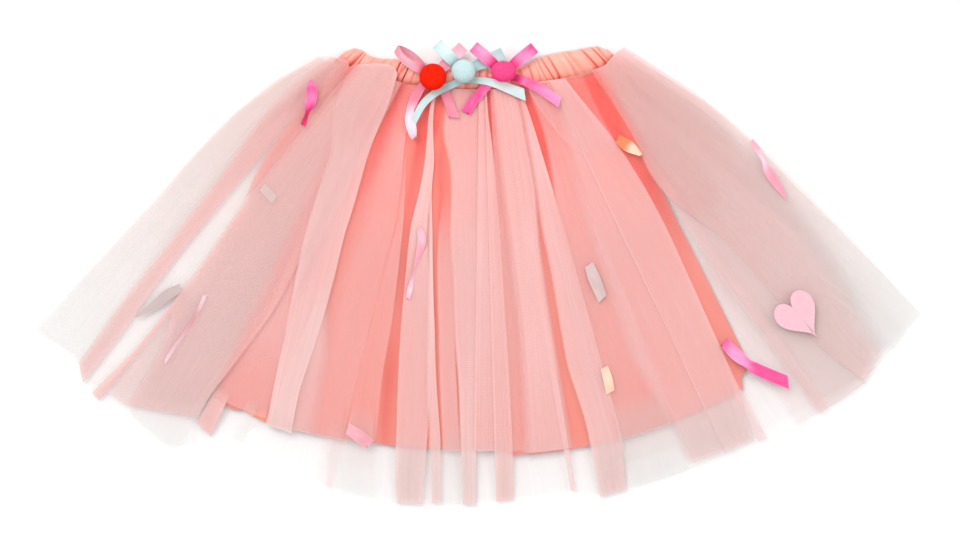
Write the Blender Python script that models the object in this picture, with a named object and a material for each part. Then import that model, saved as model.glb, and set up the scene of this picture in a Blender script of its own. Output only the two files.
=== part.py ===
"""Child's tulle skirt laid flat: an elastic waistband with three bows, a satin lining, an inner
and an outer layer of tulle, ribbon scraps and a heart patch.

Metres, +Z up. The skirt lies on its back in the XY plane with its waist towards +Y, and the
origin is on the underside, near the middle of the back. The skirt fans out, so a place on it is
an angle from its centre line and a reach from the fan's apex, above the waist. Tables give
millimetres and degrees. A share runs from 0 at the waist seam to 1 at the hem.
"""
import math
from collections import namedtuple

import bmesh
import bpy
from mathutils import Vector
from mathutils.bvhtree import BVHTree

# ---- Driving dimensions, millimetres and degrees ----
MM = 0.001              # one millimetre in metres
APEX_Y = 269.6          # the fan's apex, above the origin
CLOTH = 1.0             # wall thickness of net, satin and ribbon
GAP = 0.3               # between pieces that lie on each other or meet at a seam
REACH_WAIST = 138.0     # mean reach of the waist seam
REACH_HEM = 466.0       # mean reach of the tulle hems
RIBBON = 9.5            # ribbon width of the bows' loops
TAIL_WIDTH = 7.6        # the same of their tails, which lie a little rolled
TAIL_CUT = 2.5          # how far a tail's last end is cut aslant
PINCH = 5.0             # ribbon width at a knot
PINCH_RUN = 9.0         # how far from the knot a tail widens
POMPOM = 21.0           # pompom diameter
POMPOM_HIGH = 14.0      # the same from front to back
SCRAP_BOW = 1.4         # how far the ends of a loose ribbon lift
HEART_X = 253.6         # the heart patch's place and size, its point away from the waist
HEART_Y = -34.4
HEART_WIDE = 32.0
HEART_TALL = 35.0
HEART_THICK = 1.4
HEART_POINTS = 40       # points round its rim
BAND_BACK = 3.0         # thickness of the band's back half
BAND_FRONT = 5.2        # the same of its front half, between the ruches
RUCHES = 26             # ruches along the front of the band
RUCHE_RISE = 2.0
LEAN = 0.8              # degrees that a ruche leans at the band's top

# Rows across each kind of sheet, as shares of its length
TULLE_ROWS = (0.0, 0.06, 0.22, 0.45, 0.72, 1.0)
LINING_ROWS = (0.0, 0.12, 0.4, 0.7, 1.0)
BACK_ROWS = (0.0, 0.1, 0.3, 0.6, 1.0)

Reach = namedtuple("Reach", "angle reach")
Side = namedtuple("Side", "share left right")
Pleat = namedtuple("Pleat", "waist hem waist_width hem_width edge")

# Where the panels are sewn into the band: the seam dips in the middle
WAIST_SEAM = (
    Reach(-52.3, 162.0), Reach(-46.0, 152.5), Reach(-38.0, 144.0), Reach(-30.0, 137.0),
    Reach(-20.0, 130.5), Reach(-10.0, 126.5), Reach(0.0, 125.0), Reach(10.0, 126.5),
    Reach(20.0, 130.0), Reach(30.0, 136.5), Reach(38.0, 143.5), Reach(43.0, 149.0),
    Reach(48.5, 145.0), Reach(50.3, 146.5),
)
# Upper edge of the band, with a raised corner at each end
BAND_TOP = (
    Reach(-48.3, 142.0), Reach(-47.3, 136.0), Reach(-45.2, 133.0), Reach(-41.8, 132.0),
    Reach(-38.8, 129.0), Reach(-33.4, 121.0), Reach(-22.9, 113.0), Reach(0.0, 108.0),
    Reach(14.0, 113.0), Reach(24.4, 110.5), Reach(30.0, 112.0), Reach(34.9, 116.0),
    Reach(42.9, 125.6), Reach(45.9, 130.4), Reach(47.2, 138.0),
)
# Hems: the tulle is cut by hand and falls in uneven steps
OUTER_HEM = (
    Reach(-48.3, 477.5), Reach(-43.3, 467.0), Reach(-42.4, 478.5), Reach(-38.9, 482.5),
    Reach(-36.8, 474.5), Reach(-31.5, 482.0), Reach(-27.9, 471.5), Reach(-25.2, 451.5),
    Reach(-23.3, 442.0), Reach(-19.5, 455.0), Reach(-15.4, 462.0), Reach(-8.1, 462.0),
    Reach(-0.4, 457.0), Reach(3.4, 453.0), Reach(9.1, 453.0), Reach(12.1, 460.5),
    Reach(21.4, 461.5), Reach(28.8, 469.5), Reach(32.5, 476.0), Reach(34.5, 471.0),
    Reach(40.5, 475.5), Reach(43.1, 466.5), Reach(49.2, 465.7),
)
INNER_HEM = (
    Reach(-43.0, 474.0), Reach(-38.8, 479.0), Reach(-31.5, 479.0), Reach(-27.5, 466.0),
    Reach(-22.0, 440.0), Reach(-15.5, 459.0), Reach(-5.0, 459.0), Reach(2.5, 450.0),
    Reach(9.5, 450.0), Reach(12.5, 458.0), Reach(25.0, 462.0), Reach(33.0, 470.0),
    Reach(41.0, 470.0), Reach(45.0, 462.0),
)
LINING_HEM = (
    Reach(-30.0, 428.0), Reach(-21.0, 424.0), Reach(-12.0, 417.5), Reach(0.0, 412.0),
    Reach(3.5, 419.0), Reach(15.0, 420.5), Reach(27.0, 421.5), Reach(30.5, 420.0),
)
# Side edges, bulging out below the band and then falling nearly straight
OUTER_SIDES = (
    Side(0.0, -52.3, 50.3), Side(0.12, -54.1, 52.0), Side(0.25, -53.7, 53.2),
    Side(0.38, -52.4, 52.6), Side(0.55, -50.5, 51.3), Side(0.75, -49.3, 50.3),
    Side(1.0, -48.3, 49.2),
)
INNER_SIDES = (
    Side(0.0, -49.0, 47.6), Side(0.25, -50.0, 49.2), Side(0.5, -46.9, 48.0),
    Side(0.77, -44.5, 46.3), Side(1.0, -42.8, 44.8),
)
LINING_SIDES = (
    Side(0.0, -45.0, 43.5), Side(0.12, -37.6, 36.9), Side(0.35, -33.6, 33.0),
    Side(0.65, -31.3, 30.9), Side(1.0, -29.8, 30.3),
)
# Folds of the inner tulle: knife pleats, narrow at the waist, whose crisp top edge shows on
# the side named last
INNER_PLEATS = (
    Pleat(-43.2, -40.2, 1.6, 1.3, "right"),
    Pleat(-39.4, -38.0, 0.9, 1.2, "left"),
    Pleat(-35.0, -32.2, 1.4, 7.6, "left"),
    Pleat(-29.6, -25.9, 0.9, 1.2, "right"),
    Pleat(-25.0, -21.6, 0.9, 1.6, "left"),
    Pleat(-20.4, -16.3, 0.9, 1.9, "left"),
    Pleat(-14.6, -7.9, 1.1, 3.2, "left"),
    Pleat(-9.6, -3.8, 0.9, 1.2, "right"),
    Pleat(-4.6, -1.0, 0.9, 1.2, "right"),
    Pleat(1.2, 2.5, 1.0, 1.9, "right"),
    Pleat(6.4, 9.2, 0.9, 0.9, "left"),
    Pleat(12.6, 13.4, 1.1, 2.9, "right"),
    Pleat(22.0, 24.9, 1.6, 7.2, "right"),
    Pleat(30.5, 31.4, 1.0, 1.4, "left"),
    Pleat(35.5, 35.6, 1.0, 1.3, "left"),
    Pleat(41.0, 41.2, 1.4, 4.4, "right"),
)
# Folds of the outer tulle, between and across those
OUTER_PLEATS = (
    Pleat(-46.3, -44.4, 1.2, 2.2, "right"),
    Pleat(-40.0, -36.4, 1.5, 2.0, "right"),
    Pleat(-33.0, -24.2, 1.5, 2.4, "right"),
    Pleat(-27.0, -18.6, 1.3, 2.0, "right"),
    Pleat(-20.0, -12.2, 1.3, 1.8, "right"),
    Pleat(-11.5, -2.6, 1.3, 1.8, "right"),
    Pleat(-3.0, 4.2, 1.2, 1.6, "left"),
    Pleat(9.4, 11.2, 1.2, 1.6, "left"),
    Pleat(16.0, 17.6, 1.4, 2.2, "right"),
    Pleat(27.5, 29.2, 1.4, 1.8, "right"),
    Pleat(34.0, 33.4, 1.3, 1.4, "left"),
    Pleat(40.2, 38.6, 1.2, 2.0, "left"),
    Pleat(44.7, 46.4, 1.1, 1.6, "left"),
)

Tulle = namedtuple("Tulle", "sides hem pleats fold_waist fold_hem wave_waist wave_hem spacing")
INNER = Tulle(INNER_SIDES, INNER_HEM, INNER_PLEATS, 1.35, 1.6, 0.8, 1.1, 17.0)
OUTER = Tulle(OUTER_SIDES, OUTER_HEM, OUTER_PLEATS, 1.35, 2.2, 1.2, 1.8, 15.0)

# ---- Bows and loose ribbons ----
# A loop of a bow: its tip, the height of its middle, how far its plies part and its roll
Loop = namedtuple("Loop", "tip_x tip_y tip_z middle_z part roll")
Bow = namedtuple("Bow", "name finish x y left right")
BOWS = (
    Bow("bow_pink", "pink_ribbon", -37.2, 155.8,
        Loop(-66.5, 178.0, 16.6, 17.0, 2.0, 45.0), Loop(-15.5, 180.5, 12.3, 12.3, 0.2, 0.0)),
    Bow("bow_aqua", "aqua_ribbon", -13.0, 160.0,
        Loop(-34.8, 181.2, 17.4, 17.8, 1.2, 0.0), Loop(17.3, 175.2, 12.3, 12.3, 0.2, 0.0)),
    Bow("bow_magenta", "magenta_ribbon", 18.6, 158.8,
        Loop(-5.0, 179.4, 17.4, 17.8, 1.2, 0.0), Loop(43.6, 178.0, 14.6, 14.6, 1.4, 0.0)),
)
LoopShape = namedtuple("LoopShape", "part open lift roll width")
LOOP_SHAPE = (
    LoopShape(0.2, 0.1, 0.15, 0.0, 6.6), LoopShape(0.36, 0.6, 0.8, 0.4, 8.6),
    LoopShape(0.55, 1.0, 1.0, 1.0, RIBBON), LoopShape(0.75, 1.0, 1.0, 1.0, RIBBON),
    LoopShape(0.91, 0.7, 1.0, 1.0, RIBBON), LoopShape(1.0, 0.0, 1.0, 1.0, RIBBON),
)

# The tails of each bow, one length of ribbon passing under its loops: how far each bend lifts
# off what it lies on, and how far the ribbon rolls there
Bend = namedtuple("Bend", "x y lift roll")
TAILS = {
    "bow_pink": (
        Bend(-55.2, 104.8, 2.2, 35.0), Bend(-57.0, 117.0, 1.4, 20.0), Bend(-54.0, 129.0, 0.0, 0.0),
        Bend(-48.4, 140.0, 0.0, 0.0), Bend(-42.8, 147.8, 0.0, 0.0), Bend(-37.2, 152.2, 0.0, 0.0),
        Bend(-31.4, 149.0, 0.0, 0.0), Bend(-27.0, 139.6, 0.0, 0.0), Bend(-19.6, 119.6, 0.0, 0.0),
    ),
    "bow_aqua": (
        Bend(-51.6, 123.2, 0.0, 0.0), Bend(-47.2, 132.0, 0.0, 0.0), Bend(-39.0, 139.8, 0.0, 0.0),
        Bend(-26.4, 147.0, 0.0, 0.0), Bend(-12.8, 152.6, 0.0, 0.0), Bend(-1.0, 152.8, 0.0, 0.0),
        Bend(9.0, 150.6, 0.0, 0.0), Bend(20.0, 146.6, 0.0, 0.0), Bend(33.6, 141.6, 0.0, 0.0),
    ),
    "bow_magenta": (
        Bend(-12.0, 124.4, 0.0, 0.0), Bend(-5.6, 134.8, 0.0, 0.0), Bend(3.4, 145.4, 0.0, 0.0),
        Bend(11.0, 153.0, 0.0, 0.0), Bend(20.0, 155.6, 0.0, 0.0), Bend(26.0, 155.0, 0.0, 0.0),
        Bend(32.0, 153.0, 1.6, 0.0), Bend(46.4, 145.2, 0.0, 0.0), Bend(61.6, 135.2, 0.0, 0.0),
    ),
}
TAILS_LAID = ("bow_pink", "bow_magenta", "bow_aqua")

# Loose lengths of ribbon, on the outer tulle or tucked under it: start, middle and end
Scrap = namedtuple("Scrap", "name finish tucked x1 y1 x2 y2 x3 y3 width")
SCRAPS = (
    Scrap("ribbon_magenta_left", "magenta_ribbon", False,
          -135.2, 150.4, -134.4, 132.8, -140.4, 114.4, 8.0),
    Scrap("ribbon_orange", "orange_ribbon", False, 108.8, 104.8, 116.8, 98.6, 124.8, 92.8, 8.5),
    Scrap("ribbon_pink_right", "magenta_ribbon", False,
          217.6, 102.4, 228.0, 85.6, 242.4, 62.4, 8.5),
    Scrap("ribbon_magenta_right", "magenta_ribbon", False,
          194.4, -56.8, 214.4, -73.6, 242.4, -88.0, 9.5),
    Scrap("ribbon_pink_middle", "pink_ribbon", True, -48.0, 34.4, -51.2, 12.0, -56.8, -22.4, 8.0),
    Scrap("ribbon_aqua_middle", "grey_ribbon", True, 86.4, 4.8, 91.2, -8.0, 96.8, -21.6, 9.0),
    Scrap("ribbon_aqua_left", "grey_ribbon", True,
          -239.2, -12.8, -250.4, -21.6, -262.4, -34.4, 9.0),
    Scrap("ribbon_pink_left", "pink_ribbon", True,
          -220.8, -20.0, -232.0, -44.0, -249.6, -72.8, 5.5),
    Scrap("ribbon_pink_hem", "pink_ribbon", True,
          -105.6, -126.4, -96.0, -132.8, -86.4, -139.2, 9.5),
    Scrap("ribbon_cream", "orange_ribbon", True, 99.2, -77.6, 101.6, -86.4, 103.2, -96.0, 7.0),
    Scrap("ribbon_pale", "grey_ribbon", True, -173.6, 66.4, -169.2, 61.6, -164.8, 56.8, 7.0),
)

# ---- Levels: the height of each flat-lying layer's underside ----
OUTER_BACK_Z = 0.0
INNER_BACK_Z = OUTER_BACK_Z + CLOTH + GAP
LINING_BACK_Z = INNER_BACK_Z + CLOTH + GAP
LINING_FRONT_Z = LINING_BACK_Z + CLOTH + GAP
LINING_WAVE = 1.2
OVER_LINING_Z = LINING_FRONT_Z + LINING_WAVE + CLOTH + GAP
OVER_BACK_Z = INNER_BACK_Z + CLOTH + GAP
BAND_FRONT_Z = BAND_BACK + GAP
BAND_CREST_Z = BAND_FRONT_Z + BAND_FRONT + RUCHE_RISE
TAIL_Z = BAND_CREST_Z + GAP + CLOTH / 2
KNOT_Z = TAIL_Z + CLOTH + GAP
PLY_GAP = CLOTH + 0.45  # between the middles of a loop's two plies, where it is pinched
POMPOM_Z = KNOT_Z + PLY_GAP + CLOTH / 2 + GAP

# Shaping of the front layers
LINING_MARGIN = 3.0     # degrees past the lining's edge that the tulle stays up
RAMP_WAIST = 4.0        # degrees in which it then comes down, at the waist
RAMP_HEM = 9.0          # the same at the hem
SIDE_ROLL = 6.0         # width in which a side edge rolls down to the back
SLOPE_WAIST = 2.4       # run in which a pleat's top ply comes down again, at the waist
SLOPE_HEM = 5.0         # the same at the hem
PLEAT_CLEAR = 1.0       # flat stretch in front of a pleat
WATCH = 8.0             # how far to each side a place keeps clear of what it lies on
TAIL_STEPS = 3          # stations of a tail between two of its bends
TAIL_FALL = 2.2         # most that a tail drops from one station to the next
CLIMB = 4.4             # how far before the seam a tail rises from the band to the tulle
SEAT_STEP = 0.5         # spacing of the places where a flat piece is laid on the cloth below
PUFF_ANGLE = -38.2      # where the outer tulle puffs up over the band
PUFF_HALF = 5.0
PUFF_REACH = 8.5

# ---- Materials: colour, roughness ----
Finish = namedtuple("Finish", "colour roughness")
FINISHES = {
    "coral_satin": Finish((0.87, 0.31, 0.26), 0.45),
    "band_satin": Finish((0.91, 0.37, 0.27), 0.42),
    "pink_tulle": Finish((0.90, 0.52, 0.47), 0.75),
    "pale_tulle": Finish((0.92, 0.72, 0.68), 0.75),
    "pink_ribbon": Finish((0.95, 0.57, 0.70), 0.35),
    "aqua_ribbon": Finish((0.60, 0.85, 0.86), 0.35),
    "magenta_ribbon": Finish((0.93, 0.14, 0.42), 0.35),
    "grey_ribbon": Finish((0.62, 0.60, 0.60), 0.40),
    "orange_ribbon": Finish((0.98, 0.50, 0.28), 0.35),
    "orange_fluff": Finish((0.95, 0.05, 0.01), 0.95),
    "aqua_fluff": Finish((0.66, 0.83, 0.82), 0.95),
    "magenta_fluff": Finish((0.95, 0.10, 0.30), 0.95),
    "heart_felt": Finish((0.93, 0.72, 0.78), 0.80),
}


# ---- Tables and places on the fan ----
def mix(start, end, share):
    return start + (end - start) * share


def look_up(table, key, value, at):
    """Value column of a table at a key, straight between its rows and level past its ends."""
    if at <= getattr(table[0], key):
        return getattr(table[0], value)
    for low, high in zip(table, table[1:]):
        end = getattr(high, key)
        if at <= end:
            start = getattr(low, key)
            return mix(getattr(low, value), getattr(high, value), (at - start) / (end - start))
    return getattr(table[-1], value)


def on_fan(angle, reach, height):
    """Point in metres at an angle, a reach and a height, all in degrees and millimetres."""
    turn = math.radians(angle)
    x = reach * math.sin(turn)
    y = APEX_Y - reach * math.cos(turn)
    return Vector((x, y, height)) * MM


def seam_reach(angle):
    return look_up(WAIST_SEAM, "angle", "reach", angle)


def arc_scale(share):
    """Millimetres of arc in one degree, at a share of the tulle's length."""
    return math.radians(1.0) * mix(REACH_WAIST, REACH_HEM, share)


# ---- Meshes ----
def add_sheet(mesh, rows):
    """A grid of faces through rows of points, with the same number of points in each."""
    columns = len(rows[0])
    grid = bmesh.ops.create_grid(mesh, x_segments=columns - 1, y_segments=len(rows) - 1)
    points = [point for row in rows for point in row]
    for vert, point in zip(grid["verts"], points):
        vert.co = point


def wall_between(upper, lower):
    """Closed wall from an upper and a lower sheet of points, joined all round the rim."""
    mesh = bmesh.new()
    add_sheet(mesh, upper)
    add_sheet(mesh, lower)
    rim = [edge for edge in mesh.edges if edge.is_boundary]
    bmesh.ops.bridge_loops(mesh, edges=rim)
    return mesh


def place(name, finish, mesh, smooth=False):
    """Turn a bmesh into a named object with its material."""
    bmesh.ops.recalc_face_normals(mesh, faces=mesh.faces)
    data = bpy.data.meshes.new(name)
    mesh.to_mesh(data)
    mesh.free()
    data.materials.append(material(finish))
    if smooth:
        data.shade_smooth()
        data.set_sharp_from_angle(angle=math.radians(50.0))
    piece = bpy.data.objects.new(name, data)
    bpy.context.scene.collection.objects.link(piece)
    return piece


def material(name):
    found = bpy.data.materials.get(name)
    if found:
        return found
    finish = FINISHES[name]
    made = bpy.data.materials.new(name)
    made.use_nodes = True
    shader = made.node_tree.nodes["Principled BSDF"]
    shader.inputs["Base Color"].default_value = (*finish.colour, 1.0)
    shader.inputs["Roughness"].default_value = finish.roughness
    shader.inputs["Metallic"].default_value = 0.0
    return made


# ---- Pleated tulle: one section for each row, then a wall through the sections ----
# A section's middle line runs from left to right through places with an arc length, a height
# and the direction it heads in, in degrees. A pleat folds it back over itself and on again.
Place = namedtuple("Place", "arc height heading")


def pleat_places(pleat, share, base, fold):
    """Middle line through one pleat: three plies and the two round turns between them."""
    scale = arc_scale(share)
    centre = mix(pleat.waist, pleat.hem, share) * scale
    half = mix(pleat.waist_width, pleat.hem_width, share) * scale / 2
    turn = fold / 2
    top = base + 2 * fold
    z_fold = [
        Place(half, base, 0), Place(half + turn, base + turn, 90), Place(half, base + fold, 180),
        Place(-half, base + fold, 180), Place(-half - turn, top - turn, 90),
        Place(-half, top, 0), Place(half + turn, top, 0),
    ]
    if pleat.edge == "left":
        return [Place(centre + p.arc, p.height, p.heading) for p in z_fold]
    return [Place(centre - p.arc, p.height, -p.heading) for p in reversed(z_fold)]


def pleat_span(pleat, share, fold):
    """Arcs between which a pleat lies, with the slope down from its top ply."""
    scale = arc_scale(share)
    centre = mix(pleat.waist, pleat.hem, share) * scale
    half = mix(pleat.waist_width, pleat.hem_width, share) * scale / 2 + fold / 2
    near = half + PLEAT_CLEAR
    far = half + mix(SLOPE_WAIST, SLOPE_HEM, share)
    if pleat.edge == "left":
        return centre - near, centre + far
    return centre - far, centre + near


def plies_under(line, start, end):
    """Height of the top of a middle line's plies between two arcs."""
    tops = []
    for one, two in zip(line, line[1:]):
        low, high = sorted((one.arc, two.arc))
        if high >= start and low <= end:
            for at in (max(low, start), min(high, end)):
                run = two.arc - one.arc
                part = (at - one.arc) / run if run else 0.0
                tops.append(mix(one.height, two.height, part) + CLOTH / 2)
    return max(tops, default=0.0)


def bed_of_inner(share, start, end):
    """Top of what the inner tulle lies on: the lining, and the back layers past its sides."""
    scale = arc_scale(share)
    left = look_up(LINING_SIDES, "share", "left", share) - LINING_MARGIN
    right = look_up(LINING_SIDES, "share", "right", share) + LINING_MARGIN
    ramp = mix(RAMP_WAIST, RAMP_HEM, share)
    outside = max(left - end / scale, start / scale - right, 0.0)
    over_lining = OVER_LINING_Z - LINING_WAVE * max(0.0, 1.0 - share / TULLE_ROWS[2])
    return mix(over_lining, OVER_BACK_Z, min(outside / ramp, 1.0)) - GAP


def front_section(layer, share, bed, edge_base):
    """Middle line of a front layer: side rolls, waved stretches and pleats, left to right."""
    scale = arc_scale(share)
    fold = mix(layer.fold_waist, layer.fold_hem, share)
    wave = mix(layer.wave_waist, layer.wave_hem, share) * min(1.0, 0.4 + share * 12)
    first = look_up(layer.sides, "share", "left", share) * scale
    last = look_up(layer.sides, "share", "right", share) * scale
    spans = [pleat_span(pleat, share, fold) for pleat in layer.pleats]
    starts = [first + SIDE_ROLL] + [span[1] for span in spans]
    ends = [span[0] for span in spans] + [last - SIDE_ROLL]
    steps = [(end - start) / (2 * wave_count(layer, index))
             for index, (start, end) in enumerate(zip(starts, ends))]
    beside = [max(step, WATCH) for step in steps]
    bases = [bed(share, span[0] - before, span[1] + after) + GAP + CLOTH / 2
             for span, before, after in zip(spans, beside, beside[1:])]
    line = [Place(first, edge_base + CLOTH / 2, 0)]
    for index, start in enumerate(starts):
        stretch = waved_places(index, start, ends[index], steps[index], bed, share, wave)
        if index:
            stretch[0] = Place(start, bases[index - 1], 0)
            line += pleat_places(layer.pleats[index - 1], share, bases[index - 1], fold)
        if index < len(bases):
            stretch[-1] = Place(ends[index], bases[index], 0)
        line += stretch
    line.append(Place(last, edge_base + CLOTH / 2, 0))
    return line


def wave_count(layer, index):
    """Gathers in the stretch before a pleat, from its width halfway down."""
    scale = arc_scale(0.5)
    middles = [(p.waist + p.hem) / 2 for p in layer.pleats]
    widths = [(p.waist_width + p.hem_width) / 4 for p in layer.pleats]
    left = look_up(layer.sides, "share", "left", 0.5)
    right = look_up(layer.sides, "share", "right", 0.5)
    rights = [left] + [m + w for m, w in zip(middles, widths)]
    lefts = [m - w for m, w in zip(middles, widths)] + [right]
    return max(1, round((lefts[index] - rights[index]) * scale / layer.spacing))


def waved_places(index, start, end, step, bed, share, wave):
    """The stretch between two pleats, rising and falling in gathers of uneven height."""
    places = []
    for number in range(round((end - start) / step) + 1):
        arc = start + number * step
        beside = max(step, WATCH)
        under = bed(share, arc - beside, arc + beside) + GAP + CLOTH / 2
        uneven = 0.65 + 0.35 * math.sin(2.4 * (number + 5 * index))
        rise = wave * uneven if number % 2 else 0.0
        places.append(Place(arc, under + rise, 0))
    return places


def tulle_reach(layer, share, angle, puffs):
    """Reach of a place on a tulle layer, from its share of the way to the hem."""
    hem = look_up(layer.hem, "angle", "reach", angle)
    top = seam_reach(angle) + GAP
    if puffs:
        top -= PUFF_REACH * max(0.0, 1.0 - abs(angle - PUFF_ANGLE) / PUFF_HALF) ** 0.5
    return mix(top, hem, share)


def front_wall(layer, sections, puffs):
    """Wall through a front layer's sections, half its thickness to each side of the line."""
    sheets = []
    for side in (1, -1):
        rows = []
        for share, line in zip(TULLE_ROWS, sections):
            row = []
            for spot in line:
                heading = math.radians(spot.heading)
                arc = spot.arc - side * math.sin(heading) * CLOTH / 2
                height = spot.height + side * math.cos(heading) * CLOTH / 2
                angle = arc / arc_scale(share)
                row.append(on_fan(angle, tulle_reach(layer, share, angle, puffs), height))
            rows.append(row)
        sheets.append(rows)
    return wall_between(*sheets)


# ---- Plain sheets: the back layers and the lining ----
def flat_wall(sides, hem, shares, columns, underside, inset=0.0, wave=0.0):
    """Fan-shaped sheet at one height, drawn in at its edges, with soft waves if asked."""
    sheets = []
    for lift in (CLOTH, 0.0):
        rows = []
        for share in shares:
            row = []
            left = look_up(sides, "share", "left", share)
            right = look_up(sides, "share", "right", share)
            margin = inset / arc_scale(share)
            for column in range(columns + 1):
                angle = mix(left + margin, right - margin, column / columns)
                end = look_up(hem, "angle", "reach", angle) - inset
                reach = mix(seam_reach(angle) + GAP, end, share)
                crest = 0.5 - 0.5 * math.cos(math.pi * column + 0.9 * math.sin(column * 1.7))
                height = underside + lift + wave * crest * share
                row.append(on_fan(angle, reach, height))
            rows.append(row)
        sheets.append(rows)
    return wall_between(*sheets)


# ---- Waistband ----
def band_wall(columns, profile, underside, thickness, rise):
    """Half of the band, from its seam edge to its top, with ruches across its outer face.

    The profile gives shares of the band's height and how full its face is there. The ruches
    lean a little, to and fro."""
    first, last = BAND_TOP[0].angle, BAND_TOP[-1].angle
    upper = []
    lower = []
    for up, fullness in profile:
        high_row = []
        low_row = []
        for column in range(columns + 1):
            angle = mix(first, last, column / columns)
            reach = mix(seam_reach(angle) - GAP, look_up(BAND_TOP, "angle", "reach", angle), up)
            lean = angle + LEAN * math.sin(column * 0.61) * up
            turn = column / columns * RUCHES + 0.35 * math.sin(column * 0.37)
            crest = 0.5 - 0.5 * math.cos(2 * math.pi * turn)
            height = underside + (thickness + rise * crest) * fullness
            high_row.append(on_fan(lean, reach, height))
            low_row.append(on_fan(lean, reach, underside))
        upper.append(high_row)
        lower.append(low_row)
    return wall_between(upper, lower)


# ---- Places for what lies on the tulle ----
def fan_place(x, y):
    """Angle and reach of a place given in millimetres in the skirt's frame."""
    return math.degrees(math.atan2(x, APEX_Y - y)), math.hypot(x, APEX_Y - y)


def share_of(layer, angle, reach):
    seam = seam_reach(angle)
    return (reach - seam) / (look_up(layer.hem, "angle", "reach", angle) - seam)


def rows_at(low, high):
    """Rows of the tulle that shape it between two shares."""
    ends = (-1.0,) + TULLE_ROWS + (2.0,)
    return [row for row, (before, after) in enumerate(zip(ends, ends[2:]))
            if before < high and after > low]


def top_around(layer, lines, x, y, around):
    """Top of a front layer within a distance of a place, from the rows on both sides of it."""
    angle, reach = fan_place(x, y)
    spread = math.degrees(around / reach)
    share = share_of(layer, angle, reach)
    tops = [0.0]
    for row in rows_at(share, share):
        scale = arc_scale(TULLE_ROWS[row])
        tops.append(plies_under(lines[row], (angle - spread) * scale, (angle + spread) * scale))
    return max(tops)


# ---- Ribbons ----
# A station is a place on a ribbon's centre line, with the direction of its width and the width.
Station = namedtuple("Station", "centre across width")


def ribbon_wall(stations, closed=False, slant=0.0):
    """Ribbon through its stations, four corners at each, as a ring or with two ends.

    The slant draws back one corner of the last end."""
    mesh = bmesh.new()
    count = len(stations)
    rings = []
    for index, station in enumerate(stations):
        ahead = stations[(index + 1) % count if closed else min(index + 1, count - 1)].centre
        behind = stations[index - 1 if closed or index else 0].centre
        along = (ahead - behind).normalized()
        across = (station.across - along * station.across.dot(along)).normalized()
        out = along.cross(across)
        pull = along * slant * MM if index == count - 1 else Vector()
        side = across * station.width / 2 * MM
        face = out * CLOTH / 2 * MM
        corners = (side + face - pull, -side + face, -side - face, side - face - pull)
        rings.append([mesh.verts.new(station.centre + corner) for corner in corners])
    pairs = list(zip(rings, rings[1:]))
    if closed:
        pairs.append((rings[-1], rings[0]))
    else:
        mesh.faces.new(rings[0])
        mesh.faces.new(rings[-1])
    for near, far in pairs:
        for corner in range(4):
            following = (corner + 1) % 4
            mesh.faces.new((near[corner], near[following], far[following], far[corner]))
    return mesh


def spot(x, y, z):
    """Point in metres from millimetres in the skirt's frame."""
    return Vector((x, y, z)) * MM


def level_across(along, roll):
    """Direction of a ribbon's width: level across its run, then rolled about the run."""
    level = along.cross(Vector((0, 0, 1))).normalized()
    turn = math.radians(roll)
    return level * math.cos(turn) + level.cross(along) * math.sin(turn)


def curve_through(rows, steps):
    """Smooth run of values through rows of numbers, with some steps between each two."""
    padded = [rows[0]] + list(rows) + [rows[-1]]
    run = []
    for before, start, end, after in zip(padded, padded[1:], padded[2:], padded[3:]):
        for step in range(steps):
            t = step / steps
            run.append([
                0.5 * (2 * s + (e - b) * t + (2 * b - 5 * s + 4 * e - a) * t * t
                       + (3 * s - b - 3 * e + a) * t ** 3)
                for b, s, e, a in zip(before, start, end, after)])
    run.append(list(rows[-1]))
    return run


def loop_plies(bow, loop):
    """Upper and lower ply of a loop from the knot to its tip, as stations."""
    knot = Vector((bow.x, bow.y))
    run = Vector((loop.tip_x, loop.tip_y)) - knot
    centre_z = KNOT_Z + PLY_GAP / 2
    along = Vector((run.x, run.y, 0.0)).normalized()
    upper = []
    lower = []
    for shape in LOOP_SHAPE:
        place_xy = knot + run * shape.part
        goal = mix(loop.middle_z, loop.tip_z, shape.part)
        height = mix(centre_z, goal, shape.lift)
        across = level_across(along, loop.roll * shape.roll)
        out = across.cross(along)
        half = 0.0 if shape.part == 1.0 else PLY_GAP / 2 + loop.part * shape.open
        centre = Vector((place_xy.x, place_xy.y, height))
        upper.append(Station((centre + out * half) * MM, across, shape.width))
        lower.append(Station((centre - out * half) * MM, across, shape.width))
    return upper, lower


def bow_loops(bow):
    """Both loops of a bow as one ring of ribbon, pinched at the knot.

    The upper ply runs from the left tip over the knot to the right tip, and the lower ply runs
    back under it."""
    left_upper, left_lower = loop_plies(bow, bow.left)
    right_upper, right_lower = loop_plies(bow, bow.right)
    right_upper = [Station(s.centre, -s.across, s.width) for s in right_upper]
    right_lower = [Station(s.centre, -s.across, s.width) for s in right_lower]
    middle = Vector((0.0, 1.0, 0.0))
    upper_knot = Station(spot(bow.x, bow.y, KNOT_Z + PLY_GAP), middle, PINCH)
    lower_knot = Station(spot(bow.x, bow.y, KNOT_Z), middle, PINCH)
    return (left_upper[::-1] + [upper_knot] + right_upper
            + right_lower[-2::-1] + [lower_knot] + left_lower[:-1])



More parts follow.
